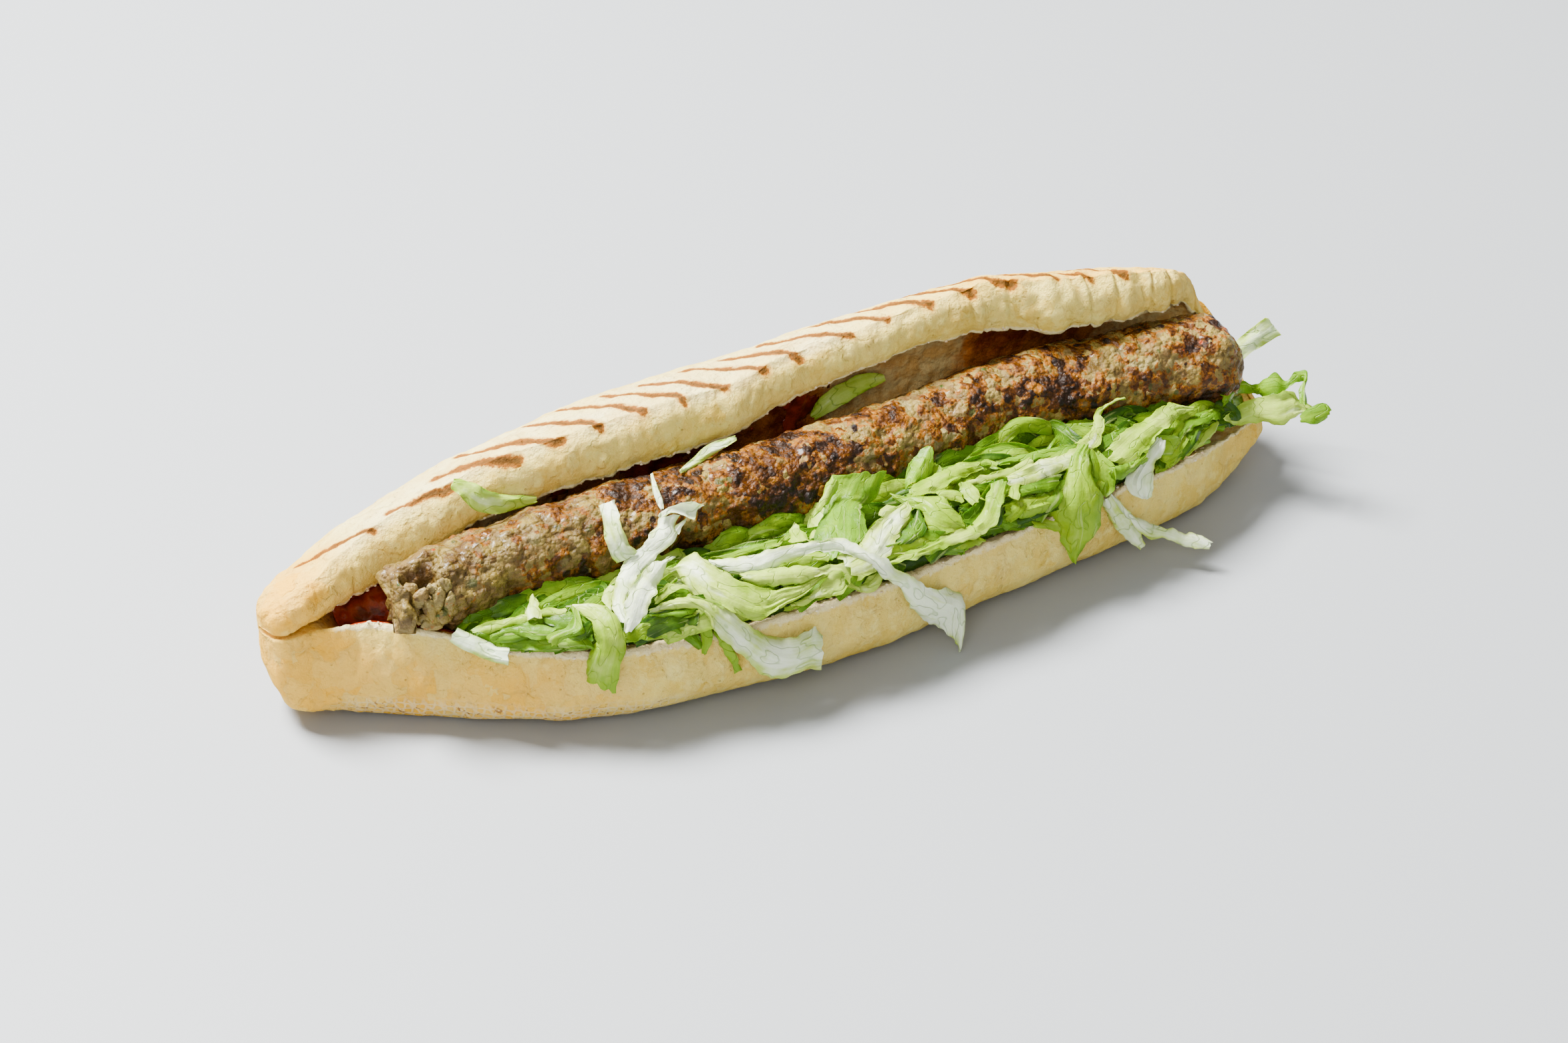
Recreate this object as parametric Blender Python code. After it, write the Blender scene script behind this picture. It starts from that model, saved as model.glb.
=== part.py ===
"""A grilled baguette opened like a book, filled with one long minced-meat kebab and shredded lettuce.

Metres, +Z up. X runs along the roll from its closed left end to its right tip, Y from the open mouth (minus)
to the uncut hinge side (plus), and the origin is the middle of the flat underside.
"""

import math

import bmesh
import bpy
import numpy as np
from mathutils import Vector, noise

# Roll: plan and side profiles along X, each a few (x, value) pairs joined by a smooth curve
FRONT_Y = (
    (-0.1325, 0.0010), (-0.1320, -0.0025), (-0.1306, -0.0060), (-0.1270, -0.0090), (-0.1210, -0.0108),
    (-0.1120, -0.0150), (-0.1040, -0.0192), (-0.0935, -0.0258), (-0.0840, -0.0312), (-0.0690, -0.0385),
    (-0.0500, -0.0430), (-0.0200, -0.0440), (0.0030, -0.0424), (0.0220, -0.0392), (0.0500, -0.0335),
    (0.0800, -0.0270), (0.1050, -0.0196), (0.1200, -0.0115), (0.1270, -0.0075), (0.1320, -0.0040),
    (0.1340, 0.0000),
)
LIP_Y = (
    (-0.1325, 0.0004), (-0.1306, -0.0050), (-0.1270, -0.0074), (-0.1220, -0.0078), (-0.1165, -0.0092),
    (-0.1090, -0.0114), (-0.1020, -0.0158), (-0.0960, -0.0200), (-0.0810, -0.0304), (-0.0600, -0.0395),
    (-0.0300, -0.0424), (0.0030, -0.0410), (0.0240, -0.0374), (0.0464, -0.0330), (0.0914, -0.0228),
    (0.1150, -0.0132), (0.1290, -0.0040), (0.1340, 0.0002),
)
BACK_Y = (
    (-0.1325, 0.0016), (-0.1320, 0.0040), (-0.1302, 0.0070), (-0.1270, 0.0108), (-0.1210, 0.0150),
    (-0.1150, 0.0184), (-0.1060, 0.0222), (-0.0950, 0.0260), (-0.0500, 0.0310), (0.0000, 0.0340),
    (0.0500, 0.0360), (0.0900, 0.0340), (0.1120, 0.0300), (0.1220, 0.0270), (0.1280, 0.0235),
    (0.1315, 0.0165), (0.1332, 0.0090), (0.1340, 0.0020),
)
BASE_Z = (
    (-0.1325, 0.0170), (-0.1320, 0.0135), (-0.1306, 0.0090), (-0.1280, 0.0042), (-0.1220, 0.0028),
    (-0.1120, 0.0011), (-0.1020, 0.0), (0.1060, 0.0), (0.1200, 0.0026), (0.1270, 0.0062), (0.1320, 0.0095), (0.1340, 0.0120),
)
LIP_Z = (
    (-0.1325, 0.0240), (-0.1220, 0.0262), (-0.1090, 0.0270), (-0.0960, 0.0262), (-0.0810, 0.0240),
    (-0.0500, 0.0228), (0.0000, 0.0225), (0.0600, 0.0220), (0.0914, 0.0208), (0.1150, 0.0182),
    (0.1290, 0.0155), (0.1340, 0.0135),
)
EDGE_Y = (
    (-0.1325, 0.0012), (-0.1320, -0.0005), (-0.1306, -0.0044), (-0.1270, -0.0066), (-0.1220, -0.0062),
    (-0.1120, -0.0020), (-0.0980, 0.0020), (-0.0750, 0.0030), (-0.0590, 0.0015), (-0.0400, 0.0020),
    (-0.0110, 0.0045), (0.0050, 0.0090), (0.0200, 0.0100), (0.0450, 0.0125), (0.0600, 0.0130),
    (0.0780, 0.0080), (0.0980, 0.0085), (0.1080, 0.0090), (0.1150, 0.0122), (0.1210, 0.0165),
    (0.1265, 0.0176), (0.1310, 0.0120), (0.1340, 0.0008),
)
EDGE_Z = (
    (-0.1325, 0.0250), (-0.1220, 0.0274), (-0.1120, 0.0278), (-0.0980, 0.0290), (-0.0750, 0.0375),
    (-0.0590, 0.0410), (-0.0400, 0.0420), (-0.0110, 0.0430), (0.0050, 0.0455), (0.0200, 0.0475),
    (0.0450, 0.0490), (0.0600, 0.0490), (0.0780, 0.0475), (0.0980, 0.0452), (0.1080, 0.0450),
    (0.1160, 0.0432), (0.1220, 0.0375), (0.1270, 0.0300), (0.1305, 0.0225), (0.1340, 0.0140),
)
LID_THICK = (
    (-0.1325, 0.0010), (-0.1320, 0.0040), (-0.1302, 0.0060), (-0.1250, 0.0078), (-0.1150, 0.0100),
    (-0.1040, 0.0128), (-0.0930, 0.0145), (-0.0800, 0.0130), (-0.0600, 0.0126), (-0.0300, 0.0132),
    (0.0000, 0.0112), (0.0250, 0.0102), (0.0450, 0.0107), (0.0650, 0.0125), (0.0850, 0.0130),
    (0.1000, 0.0118), (0.1120, 0.0095), (0.1210, 0.0070), (0.1265, 0.0060), (0.1305, 0.0040),
    (0.1340, 0.0006),
)
REAR_Z = (
    (-0.1325, 0.0256), (-0.1320, 0.0280), (-0.1302, 0.0298), (-0.1270, 0.0308), (-0.1210, 0.0318),
    (-0.1150, 0.0325), (-0.1040, 0.0345), (-0.0940, 0.0368), (-0.0830, 0.0395), (-0.0730, 0.0412),
    (-0.0600, 0.0440), (-0.0360, 0.0470), (0.0050, 0.0486), (0.0200, 0.0494), (0.0450, 0.0508),
    (0.0600, 0.0498), (0.0820, 0.0480), (0.0990, 0.0460), (0.1110, 0.0432), (0.1200, 0.0400),
    (0.1270, 0.0372), (0.1305, 0.0300), (0.1325, 0.0190), (0.1340, 0.0137),
)
DEEP_Y = (
    (-0.1325, 0.0014), (-0.1240, 0.0000), (-0.1080, 0.0060), (-0.0950, 0.0110), (-0.0600, 0.0150),
    (0.0000, 0.0200), (0.0500, 0.0225), (0.1000, 0.0225), (0.1150, 0.0222), (0.1220, 0.0212),
    (0.1270, 0.0188), (0.1310, 0.0130), (0.1340, 0.0013),
)
MOUTH = ((-0.1325, 0.0), (-0.1240, 0.0), (-0.1060, 1.0), (0.1250, 1.0), (0.1340, 0.3))
FLOOR_Z = 0.0180
ROLL_STATIONS = 47
END_CROWD = 0.70
CRUST_SWELL = 0.0006
CRUST_SWELL_SIZE = 0.0200

# Kebab: a hand-pressed sausage of minced meat, pulled off its skewer at the left end
KEBAB_AXIS_Y = (
    (-0.1060, -0.0135), (-0.1000, -0.0126), (-0.0860, -0.0102), (-0.0700, -0.0088), (-0.0540, -0.0076),
    (-0.0300, -0.0060), (0.0000, -0.0045), (0.0150, -0.0032), (0.0280, -0.0002), (0.0440, 0.0022),
    (0.0600, 0.0046), (0.0750, 0.0047), (0.0900, 0.0038), (0.1050, 0.0045), (0.1160, 0.0034), (0.1250, 0.0020),
)
KEBAB_RADIUS = (
    (-0.1060, 0.0088), (-0.0980, 0.0094), (-0.0860, 0.0103), (-0.0700, 0.0113), (-0.0500, 0.0118),
    (0.0000, 0.0120), (0.0600, 0.0122), (0.1000, 0.0125), (0.1160, 0.0124), (0.1250, 0.0120),
)
KEBAB_Z = 0.0315
KEBAB_LEFT = -0.1045
KEBAB_RIGHT = 0.1250
KEBAB_STATIONS = 52
KEBAB_SIDES = 23
KEBAB_LUMP = 0.0010
KEBAB_LUMP_SIZE = 0.0080
KEBAB_BEND = 0.0006
END_ROUND = 0.0085
TORN_LENGTH = 0.0110
TORN_DEPTH = 0.0034
SKEWER_HOLE_DEPTH = 0.0085
NUB_X = 0.1205
NUB_HEIGHT = 0.0016
# Left of this the kebab's underside lies on the lower lip instead of on the crumb
REST_END = -0.0780

# Lettuce: a packed bed along the mouth with cut shreds on it
BED_LEFT = -0.0900
BED_RIGHT = 0.1190
BED_TOP = (
    (-0.0900, 0.0280), (-0.0750, 0.0305), (-0.0500, 0.0310), (0.0000, 0.0315), (0.0400, 0.0325),
    (0.0900, 0.0312), (0.1190, 0.0270),
)
BED_STATIONS = 25
BED_SIDES = 10
SHRED_THICK = 0.0012
NARROW = 0.0047
RUFFLE = 0.0012
CURL = 0.22
TWIST = 16.0
GAP = 0.0004
GUARD_X = (-0.1150, 0.1262)
# Each shred: points along its middle, each as x, y, z and the width of the leaf there
SHREDS = (
    # long white
    ((-0.0315, -0.0269, 0.0306, 0.0025), (-0.0265, -0.0324, 0.0329, 0.0036),
     (-0.0186, -0.0333, 0.0334, 0.0038), (-0.0109, -0.0344, 0.0345, 0.0036),
     (-0.0026, -0.0362, 0.0342, 0.0038), (0.0013, -0.0398, 0.0329, 0.0040),
     (0.0056, -0.0424, 0.0293, 0.0050), (0.0099, -0.0430, 0.0235, 0.0056),
     (0.0154, -0.0425, 0.0166, 0.0070), (0.0216, -0.0407, 0.0109, 0.0085),
     (0.0238, -0.0434, 0.0091, 0.0070), (0.0243, -0.0460, 0.0062, 0.0035),
     (0.0239, -0.0478, 0.0037, 0.0010)),
    # broad
    ((-0.0365, -0.0223, 0.0301, 0.0055), (-0.0367, -0.0348, 0.0336, 0.0080),
     (-0.0341, -0.0398, 0.0318, 0.0085), (-0.0300, -0.0428, 0.0295, 0.0080),
     (-0.0247, -0.0433, 0.0278, 0.0070), (-0.0190, -0.0426, 0.0281, 0.0050),
     (-0.0122, -0.0408, 0.0292, 0.0030), (-0.0064, -0.0380, 0.0282, 0.0015)),
    # lower broad
    ((-0.0504, -0.0352, 0.0288, 0.0015), (-0.0472, -0.0378, 0.0313, 0.0028),
     (-0.0432, -0.0398, 0.0321, 0.0035), (-0.0407, -0.0427, 0.0321, 0.0045),
     (-0.0380, -0.0446, 0.0288, 0.0060), (-0.0351, -0.0457, 0.0245, 0.0065),
     (-0.0309, -0.0462, 0.0198, 0.0075), (-0.0257, -0.0463, 0.0149, 0.0080),
     (-0.0197, -0.0463, 0.0128, 0.0080), (-0.0144, -0.0461, 0.0129, 0.0095),
     (-0.0121, -0.0460, 0.0130, 0.0095)),
    # white left
    ((-0.0507, -0.0117, 0.0445, 0.0034), (-0.0518, -0.0172, 0.0433, 0.0040),
     (-0.0522, -0.0210, 0.0410, 0.0045), (-0.0514, -0.0226, 0.0370, 0.0048),
     (-0.0469, -0.0197, 0.0303, 0.0035)),
    # white fork
    ((-0.0304, -0.0188, 0.0421, 0.0020), (-0.0341, -0.0190, 0.0426, 0.0040),
     (-0.0372, -0.0208, 0.0404, 0.0050), (-0.0408, -0.0227, 0.0388, 0.0060),
     (-0.0435, -0.0233, 0.0363, 0.0068), (-0.0466, -0.0231, 0.0337, 0.0068),
     (-0.0510, -0.0260, 0.0332, 0.0056), (-0.0555, -0.0317, 0.0331, 0.0048),
     (-0.0576, -0.0353, 0.0317, 0.0045), (-0.0565, -0.0366, 0.0267, 0.0030)),
    # white front
    ((-0.0373, -0.0195, 0.0298, 0.0015), (-0.0438, -0.0276, 0.0348, 0.0030),
     (-0.0482, -0.0326, 0.0355, 0.0052), (-0.0521, -0.0368, 0.0352, 0.0068),
     (-0.0548, -0.0389, 0.0325, 0.0060), (-0.0568, -0.0401, 0.0293, 0.0030),
     (-0.0563, -0.0374, 0.0254, 0.0012)),
    # sheet green
    ((0.0131, -0.0177, 0.0367, 0.0090), (0.0099, -0.0183, 0.0357, 0.0100),
     (0.0070, -0.0192, 0.0331, 0.0095), (0.0029, -0.0259, 0.0327, 0.0110),
     (-0.0002, -0.0311, 0.0321, 0.0110), (-0.0018, -0.0336, 0.0296, 0.0060)),
    # curl small
    ((0.0296, -0.0140, 0.0381, 0.0040), (0.0276, -0.0151, 0.0366, 0.0050),
     (0.0269, -0.0147, 0.0334, 0.0035), (0.0252, -0.0172, 0.0311, 0.0022)),
    # band dark
    ((0.0226, -0.0187, 0.0309, 0.0025), (0.0272, -0.0213, 0.0330, 0.0045),
     (0.0369, -0.0190, 0.0335, 0.0045), (0.0458, -0.0167, 0.0308, 0.0020)),
    # leaf mid
    ((0.0192, -0.0198, 0.0305, 0.0030), (0.0221, -0.0257, 0.0333, 0.0060),
     (0.0268, -0.0313, 0.0327, 0.0070), (0.0295, -0.0352, 0.0301, 0.0045),
     (0.0321, -0.0334, 0.0271, 0.0015)),
    # rising
    ((-0.0010, -0.0390, 0.0259, 0.0040), (0.0054, -0.0381, 0.0308, 0.0055),
     (0.0135, -0.0320, 0.0324, 0.0048), (0.0207, -0.0239, 0.0307, 0.0030)),
    # wedge
    ((0.0164, -0.0341, 0.0284, 0.0045), (0.0189, -0.0334, 0.0322, 0.0055),
     (0.0233, -0.0279, 0.0307, 0.0025)),
    # long light
    ((0.0097, -0.0375, 0.0264, 0.0015), (0.0163, -0.0389, 0.0278, 0.0028),
     (0.0228, -0.0382, 0.0284, 0.0036), (0.0301, -0.0372, 0.0289, 0.0038),
     (0.0363, -0.0353, 0.0298, 0.0042), (0.0407, -0.0322, 0.0320, 0.0042),
     (0.0455, -0.0239, 0.0309, 0.0028)),
    # green q3
    ((0.0425, -0.0312, 0.0274, 0.0020), (0.0452, -0.0337, 0.0256, 0.0038),
     (0.0501, -0.0328, 0.0223, 0.0020)),
    # leaf q4
    ((0.0433, -0.0306, 0.0284, 0.0032), (0.0494, -0.0325, 0.0281, 0.0058),
     (0.0578, -0.0286, 0.0265, 0.0034)),
    # long r
    ((0.0332, -0.0205, 0.0316, 0.0018), (0.0395, -0.0254, 0.0339, 0.0028),
     (0.0497, -0.0225, 0.0325, 0.0032), (0.0554, -0.0231, 0.0332, 0.0042),
     (0.0626, -0.0205, 0.0310, 0.0040)),
    # long s
    ((0.0482, -0.0243, 0.0302, 0.0028), (0.0522, -0.0267, 0.0326, 0.0033),
     (0.0594, -0.0263, 0.0333, 0.0046), (0.0667, -0.0234, 0.0342, 0.0042),
     (0.0753, -0.0175, 0.0342, 0.0030), (0.0816, -0.0110, 0.0352, 0.0020),
     (0.0873, -0.0101, 0.0362, 0.0012)),
    # right hang
    ((0.0795, -0.0144, 0.0313, 0.0030), (0.0721, -0.0234, 0.0336, 0.0060),
     (0.0674, -0.0278, 0.0325, 0.0085), (0.0641, -0.0304, 0.0286, 0.0105),
     (0.0630, -0.0317, 0.0233, 0.0120), (0.0625, -0.0323, 0.0177, 0.0100),
     (0.0627, -0.0325, 0.0124, 0.0060), (0.0636, -0.0313, 0.0082, 0.0020)),
    # right broad
    ((0.1057, -0.0109, 0.0288, 0.0045), (0.0964, -0.0173, 0.0318, 0.0056),
     (0.0864, -0.0225, 0.0324, 0.0065), (0.0780, -0.0258, 0.0318, 0.0075),
     (0.0714, -0.0273, 0.0316, 0.0080), (0.0676, -0.0254, 0.0283, 0.0060)),
    # right fold
    ((0.0725, -0.0239, 0.0294, 0.0057), (0.0706, -0.0299, 0.0284, 0.0062),
     (0.0752, -0.0292, 0.0267, 0.0055), (0.0836, -0.0236, 0.0246, 0.0040)),
    # white drop
    ((0.0941, -0.0194, 0.0276, 0.0030), (0.0872, -0.0246, 0.0284, 0.0050),
     (0.0836, -0.0263, 0.0253, 0.0070), (0.0844, -0.0265, 0.0212, 0.0045),
     (0.0855, -0.0265, 0.0174, 0.0018)),
    # thin drop
    ((0.0730, -0.0243, 0.0289, 0.0030), (0.0720, -0.0283, 0.0265, 0.0036),
     (0.0729, -0.0287, 0.0224, 0.0036), (0.0745, -0.0289, 0.0184, 0.0042),
     (0.0788, -0.0285, 0.0121, 0.0042), (0.0806, -0.0323, 0.0086, 0.0025)),
    # thin out
    ((0.0755, -0.0240, 0.0285, 0.0024), (0.0738, -0.0284, 0.0279, 0.0026),
     (0.0748, -0.0291, 0.0230, 0.0028), (0.0789, -0.0291, 0.0157, 0.0030),
     (0.0824, -0.0288, 0.0115, 0.0034), (0.0861, -0.0318, 0.0100, 0.0034),
     (0.0923, -0.0344, 0.0080, 0.0032), (0.0977, -0.0379, 0.0070, 0.0026)),
    # end green
    ((0.0978, -0.0185, 0.0261, 0.0030), (0.1075, -0.0149, 0.0288, 0.0040),
     (0.1220, -0.0081, 0.0290, 0.0045), (0.1283, -0.0124, 0.0310, 0.0045),
     (0.1351, -0.0136, 0.0320, 0.0040), (0.1351, -0.0176, 0.0280, 0.0030)),
    # end pale
    ((0.0987, -0.0192, 0.0231, 0.0025), (0.1091, -0.0165, 0.0245, 0.0045),
     (0.1193, -0.0144, 0.0245, 0.0058), (0.1303, -0.0168, 0.0260, 0.0058),
     (0.1415, -0.0196, 0.0240, 0.0034)),
    # lip pale
    ((0.0895, -0.0237, 0.0211, 0.0018), (0.0976, -0.0195, 0.0203, 0.0036),
     (0.1082, -0.0152, 0.0224, 0.0040)),
    # m upper
    ((-0.0895, -0.0225, 0.0264, 0.0022), (-0.0825, -0.0278, 0.0298, 0.0042),
     (-0.0759, -0.0318, 0.0307, 0.0050), (-0.0707, -0.0318, 0.0311, 0.0050),
     (-0.0655, -0.0274, 0.0289, 0.0030)),
    # m hang
    ((-0.0661, -0.0265, 0.0289, 0.0030), (-0.0634, -0.0363, 0.0318, 0.0054),
     (-0.0628, -0.0402, 0.0282, 0.0068), (-0.0631, -0.0412, 0.0233, 0.0074),
     (-0.0641, -0.0414, 0.0193, 0.0066), (-0.0647, -0.0416, 0.0162, 0.0060)),
    # m fold
    ((-0.0735, -0.0326, 0.0256, 0.0032), (-0.0716, -0.0366, 0.0301, 0.0038),
     (-0.0666, -0.0312, 0.0286, 0.0040)),
    # m low
    ((-0.0851, -0.0263, 0.0240, 0.0020), (-0.0801, -0.0324, 0.0252, 0.0040),
     (-0.0730, -0.0329, 0.0254, 0.0034)),
    # stub
    ((-0.0941, -0.0230, 0.0265, 0.0042), (-0.0907, -0.0261, 0.0251, 0.0046),
     (-0.0870, -0.0288, 0.0242, 0.0046), (-0.0837, -0.0311, 0.0231, 0.0044)),
    # o green
    ((-0.0463, -0.0391, 0.0259, 0.0030), (-0.0441, -0.0427, 0.0256, 0.0045),
     (-0.0413, -0.0438, 0.0220, 0.0036), (-0.0405, -0.0442, 0.0191, 0.0014)),
    # o thin
    ((-0.0369, -0.0396, 0.0263, 0.0020), (-0.0369, -0.0432, 0.0238, 0.0020),
     (-0.0346, -0.0447, 0.0192, 0.0026), (-0.0323, -0.0450, 0.0124, 0.0014)),
    # t curl
    ((-0.0011, -0.0400, 0.0241, 0.0020), (0.0019, -0.0422, 0.0253, 0.0040),
     (0.0067, -0.0391, 0.0244, 0.0022)),
    # u yellow
    ((-0.0258, -0.0342, 0.0298, 0.0040), (-0.0187, -0.0376, 0.0308, 0.0046),
     (-0.0122, -0.0391, 0.0306, 0.0042), (-0.0064, -0.0371, 0.0287, 0.0024)),
    # v yellow
    ((-0.0164, -0.0409, 0.0245, 0.0015), (-0.0115, -0.0424, 0.0265, 0.0032),
     (-0.0055, -0.0424, 0.0269, 0.0042), (-0.0009, -0.0383, 0.0270, 0.0034)),
    # w leaf
    ((-0.0114, -0.0263, 0.0310, 0.0030), (-0.0087, -0.0245, 0.0320, 0.0044),
     (-0.0064, -0.0191, 0.0304, 0.0014)),
)
LONE_SHREDS = (
    ("leaf_on_lid", (
        (-0.0828, 0.0039, 0.0489, 0.0025), (-0.0801, 0.0014, 0.0481, 0.0045),
        (-0.0776, -0.0005, 0.0456, 0.0055), (-0.0726, -0.0008, 0.0433, 0.0044),
        (-0.0678, -0.0004, 0.0424, 0.0030), (-0.0638, -0.0002, 0.0418, 0.0015),
    )),
    ("shred_on_kebab", (
        (-0.0296, -0.0060, 0.0438, 0.0015), (-0.0248, -0.0027, 0.0430, 0.0030),
        (-0.0206, -0.0013, 0.0443, 0.0040), (-0.0164, -0.0006, 0.0448, 0.0034),
        (-0.0130, -0.0004, 0.0453, 0.0016),
    )),
    ("leaf_under_lid", (
        (0.0158, 0.0184, 0.0330, 0.0025), (0.0195, 0.0177, 0.0361, 0.0050),
        (0.0243, 0.0176, 0.0384, 0.0054), (0.0302, 0.0179, 0.0396, 0.0046),
        (0.0355, 0.0186, 0.0392, 0.0022),
    )),
    ("sliver_on_kebab", (
        (-0.0369, -0.0057, 0.0446, 0.0009), (-0.0383, -0.0109, 0.0445, 0.0024),
        (-0.0384, -0.0138, 0.0428, 0.0026), (-0.0385, -0.0154, 0.0414, 0.0016),
    )),
    ("shred_behind_end", (
        (0.1250, 0.0060, 0.0230, 0.0040), (0.1310, 0.0075, 0.0290, 0.0055), (0.1375, 0.0030, 0.0370, 0.0070),
    )),
)

MEAT_COLOUR = (0.36, 0.21, 0.10, 1.0)
CRUST_COLOUR = (0.80, 0.62, 0.36, 1.0)
LETTUCE_COLOUR = (0.50, 0.66, 0.20, 1.0)


def clear_scene():
    for obj in list(bpy.data.objects):
        bpy.data.objects.remove(obj)


def material(name, colour, roughness):
    made = bpy.data.materials.new(name)
    made.use_nodes = True
    shader = made.node_tree.nodes["Principled BSDF"]
    shader.inputs["Base Color"].default_value = colour
    shader.inputs["Roughness"].default_value = roughness
    shader.inputs["Metallic"].default_value = 0.0
    return made


def along(profile, x):
    """Value of a profile at x, on a smooth curve that never overshoots its own pairs."""
    xs = [pair[0] for pair in profile]
    vs = [pair[1] for pair in profile]
    if x <= xs[0]:
        return vs[0]
    if x >= xs[-1]:
        return vs[-1]
    i = max(k for k in range(len(xs) - 1) if xs[k] <= x)
    slopes = [(vs[k + 1] - vs[k]) / (xs[k + 1] - xs[k]) for k in range(len(xs) - 1)]

    def tangent(k):
        if k == 0 or k == len(xs) - 1:
            return slopes[min(k, len(slopes) - 1)]
        if slopes[k - 1] * slopes[k] <= 0:
            return 0.0
        return 2 * slopes[k - 1] * slopes[k] / (slopes[k - 1] + slopes[k])

    h = xs[i + 1] - xs[i]
    t = (x - xs[i]) / h
    a, b = tangent(i) * h, tangent(i + 1) * h
    rise = vs[i + 1] - vs[i]
    return vs[i] + a * t + (3 * rise - 2 * a - b) * t**2 + (a + b - 2 * rise) * t**3


def mix(a, b, t):
    return a + (b - a) * t


def smooth(points, steps):
    """Catmull-Rom curve through 2-D or 3-D points, with steps samples for each span, ends included."""
    rows = [np.array(p, float) for p in points]
    rows = [2 * rows[0] - rows[1], *rows, 2 * rows[-1] - rows[-2]]
    made = []
    for i in range(1, len(rows) - 2):
        p0, p1, p2, p3 = rows[i - 1 : i + 3]
        for k in range(steps):
            t = k / steps
            made.append(
                0.5 * (2 * p1 + (p2 - p0) * t + (2 * p0 - 5 * p1 + 4 * p2 - p3) * t**2
                       + (3 * p1 - p0 - 3 * p2 + p3) * t**3)
            )
    made.append(rows[-2])
    return made


def roll_section(x):
    """The roll's C-shaped section at x as (y, z) points: base, lower crust, mouth, lid, back, and round again."""
    front, back, base = along(FRONT_Y, x), along(BACK_Y, x), along(BASE_Z, x)
    mouth, thick, rear_z = along(MOUTH, x), along(LID_THICK, x), along(REAR_Z, x)
    lip_z, edge_y, edge_z = along(LIP_Z, x), along(EDGE_Y, x), along(EDGE_Z, x)
    lip_y = min(max(along(LIP_Y, x), front + 0.0003), edge_y - 0.0003)
    deep_y = max(along(DEEP_Y, x), lip_y + 0.0008)
    deep_z = mix((lip_z + edge_z) / 2, mix(edge_z, FLOOR_Z, 0.55), mouth)
    floor = min(FLOOR_Z, lip_z - 0.0015)
    width = back - front
    shoulder_y, shoulder_z = edge_y + 0.30 * thick, edge_z + thick
    rear_y = back - min(0.0030, 0.12 * width)
    crown = rear_y - shoulder_y
    drop = shoulder_z - rear_z

    lower = smooth([
        (mix(front, back, 0.5), base),
        (front + 0.24 * width, base),
        (front + 0.075 * width, base + 0.09 * (lip_z - base)),
        (front, base + 0.44 * (lip_z - base)),
        (lip_y, lip_z),
    ], 2)
    inner_low = smooth([
        (lip_y, lip_z),
        (mix(lip_y, deep_y, 0.12), lip_z - 0.0003 - 0.0010 * mouth),
        (mix(lip_y, deep_y, 0.36), mix(lip_z - 0.0004, floor + 0.0012, mouth)),
        (mix(lip_y, deep_y, 0.68), mix(mix(lip_z, deep_z, 0.4), floor - 0.0004, mouth)),
        (mix(lip_y, deep_y, 0.92), mix(mix(lip_z, deep_z, 0.7), floor + 0.0026, mouth)),
        (deep_y, deep_z),
    ], 2)
    inner_high = smooth([
        (deep_y, deep_z),
        (mix(deep_y, edge_y, 0.12), mix(deep_z, edge_z, 0.62)),
        (mix(deep_y, edge_y, 0.50), mix(deep_z, edge_z, 0.92)),
        (edge_y, edge_z),
    ], 2)
    side = smooth([
        (edge_y, edge_z),
        (edge_y - 0.10 * thick, edge_z + 0.35 * thick),
        (edge_y + 0.03 * thick, edge_z + 0.75 * thick),
        (shoulder_y, shoulder_z),
    ], 2)
    top = smooth([
        (shoulder_y, shoulder_z),
        (shoulder_y + 0.30 * crown, shoulder_z - 0.14 * drop),
        (shoulder_y + 0.66 * crown, shoulder_z - 0.46 * drop),
        (rear_y, rear_z),
        (back, base + 0.56 * (rear_z - base)),
        (back - 0.03 * width, base + 0.18 * (rear_z - base)),
        (back - 0.14 * width, base),
        (mix(front, back, 0.5), base),
    ], 2)
    return lower[:-1] + inner_low[:-1] + inner_high[:-1] + side[:-1] + top[:-1]


def lumps(x, y, z, size, depth):
    """Soft random relief: the same place always gives the same height."""
    return depth * noise.noise(Vector((x, y, z)) / size)


def face_outward(shape):
    """Turns every face of a closed shape outwards."""
    bmesh.ops.recalc_face_normals(shape, faces=shape.faces)
    if shape.calc_volume(signed=True) < 0:
        bmesh.ops.reverse_faces(shape, faces=shape.faces)


def loft(name, rings, finish):
    """One closed solid through rings of equal point count, its two ends closed by flat caps."""
    shape = bmesh.new()
    rows = [[shape.verts.new(p) for p in ring] for ring in rings]
    count = len(rows[0])
    for near, far in zip(rows, rows[1:]):
        for i in range(count):
            j = (i + 1) % count
            shape.faces.new((near[i], near[j], far[j], far[i]))
    for row in (rows[0], rows[-1]):
        shape.faces.new(row)
    bmesh.ops.triangulate(shape, faces=shape.faces, ngon_method="EAR_CLIP")
    face_outward(shape)
    mesh = bpy.data.meshes.new(name)
    shape.to_mesh(mesh)
    shape.free()
    mesh.shade_smooth()
    mesh.set_sharp_from_angle(angle=math.radians(50))
    mesh.materials.append(finish)
    return bpy.data.objects.new(name, mesh)


def crowded(count, low, high):
    """Stations from low to high that crowd together at both ends, where the shape turns."""
    made = []
    for i in range(count):
        t = i / (count - 1)
        made.append(mix(low, high, mix(t, 0.5 - 0.5 * math.cos(math.pi * t), END_CROWD)))
    return made


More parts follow.
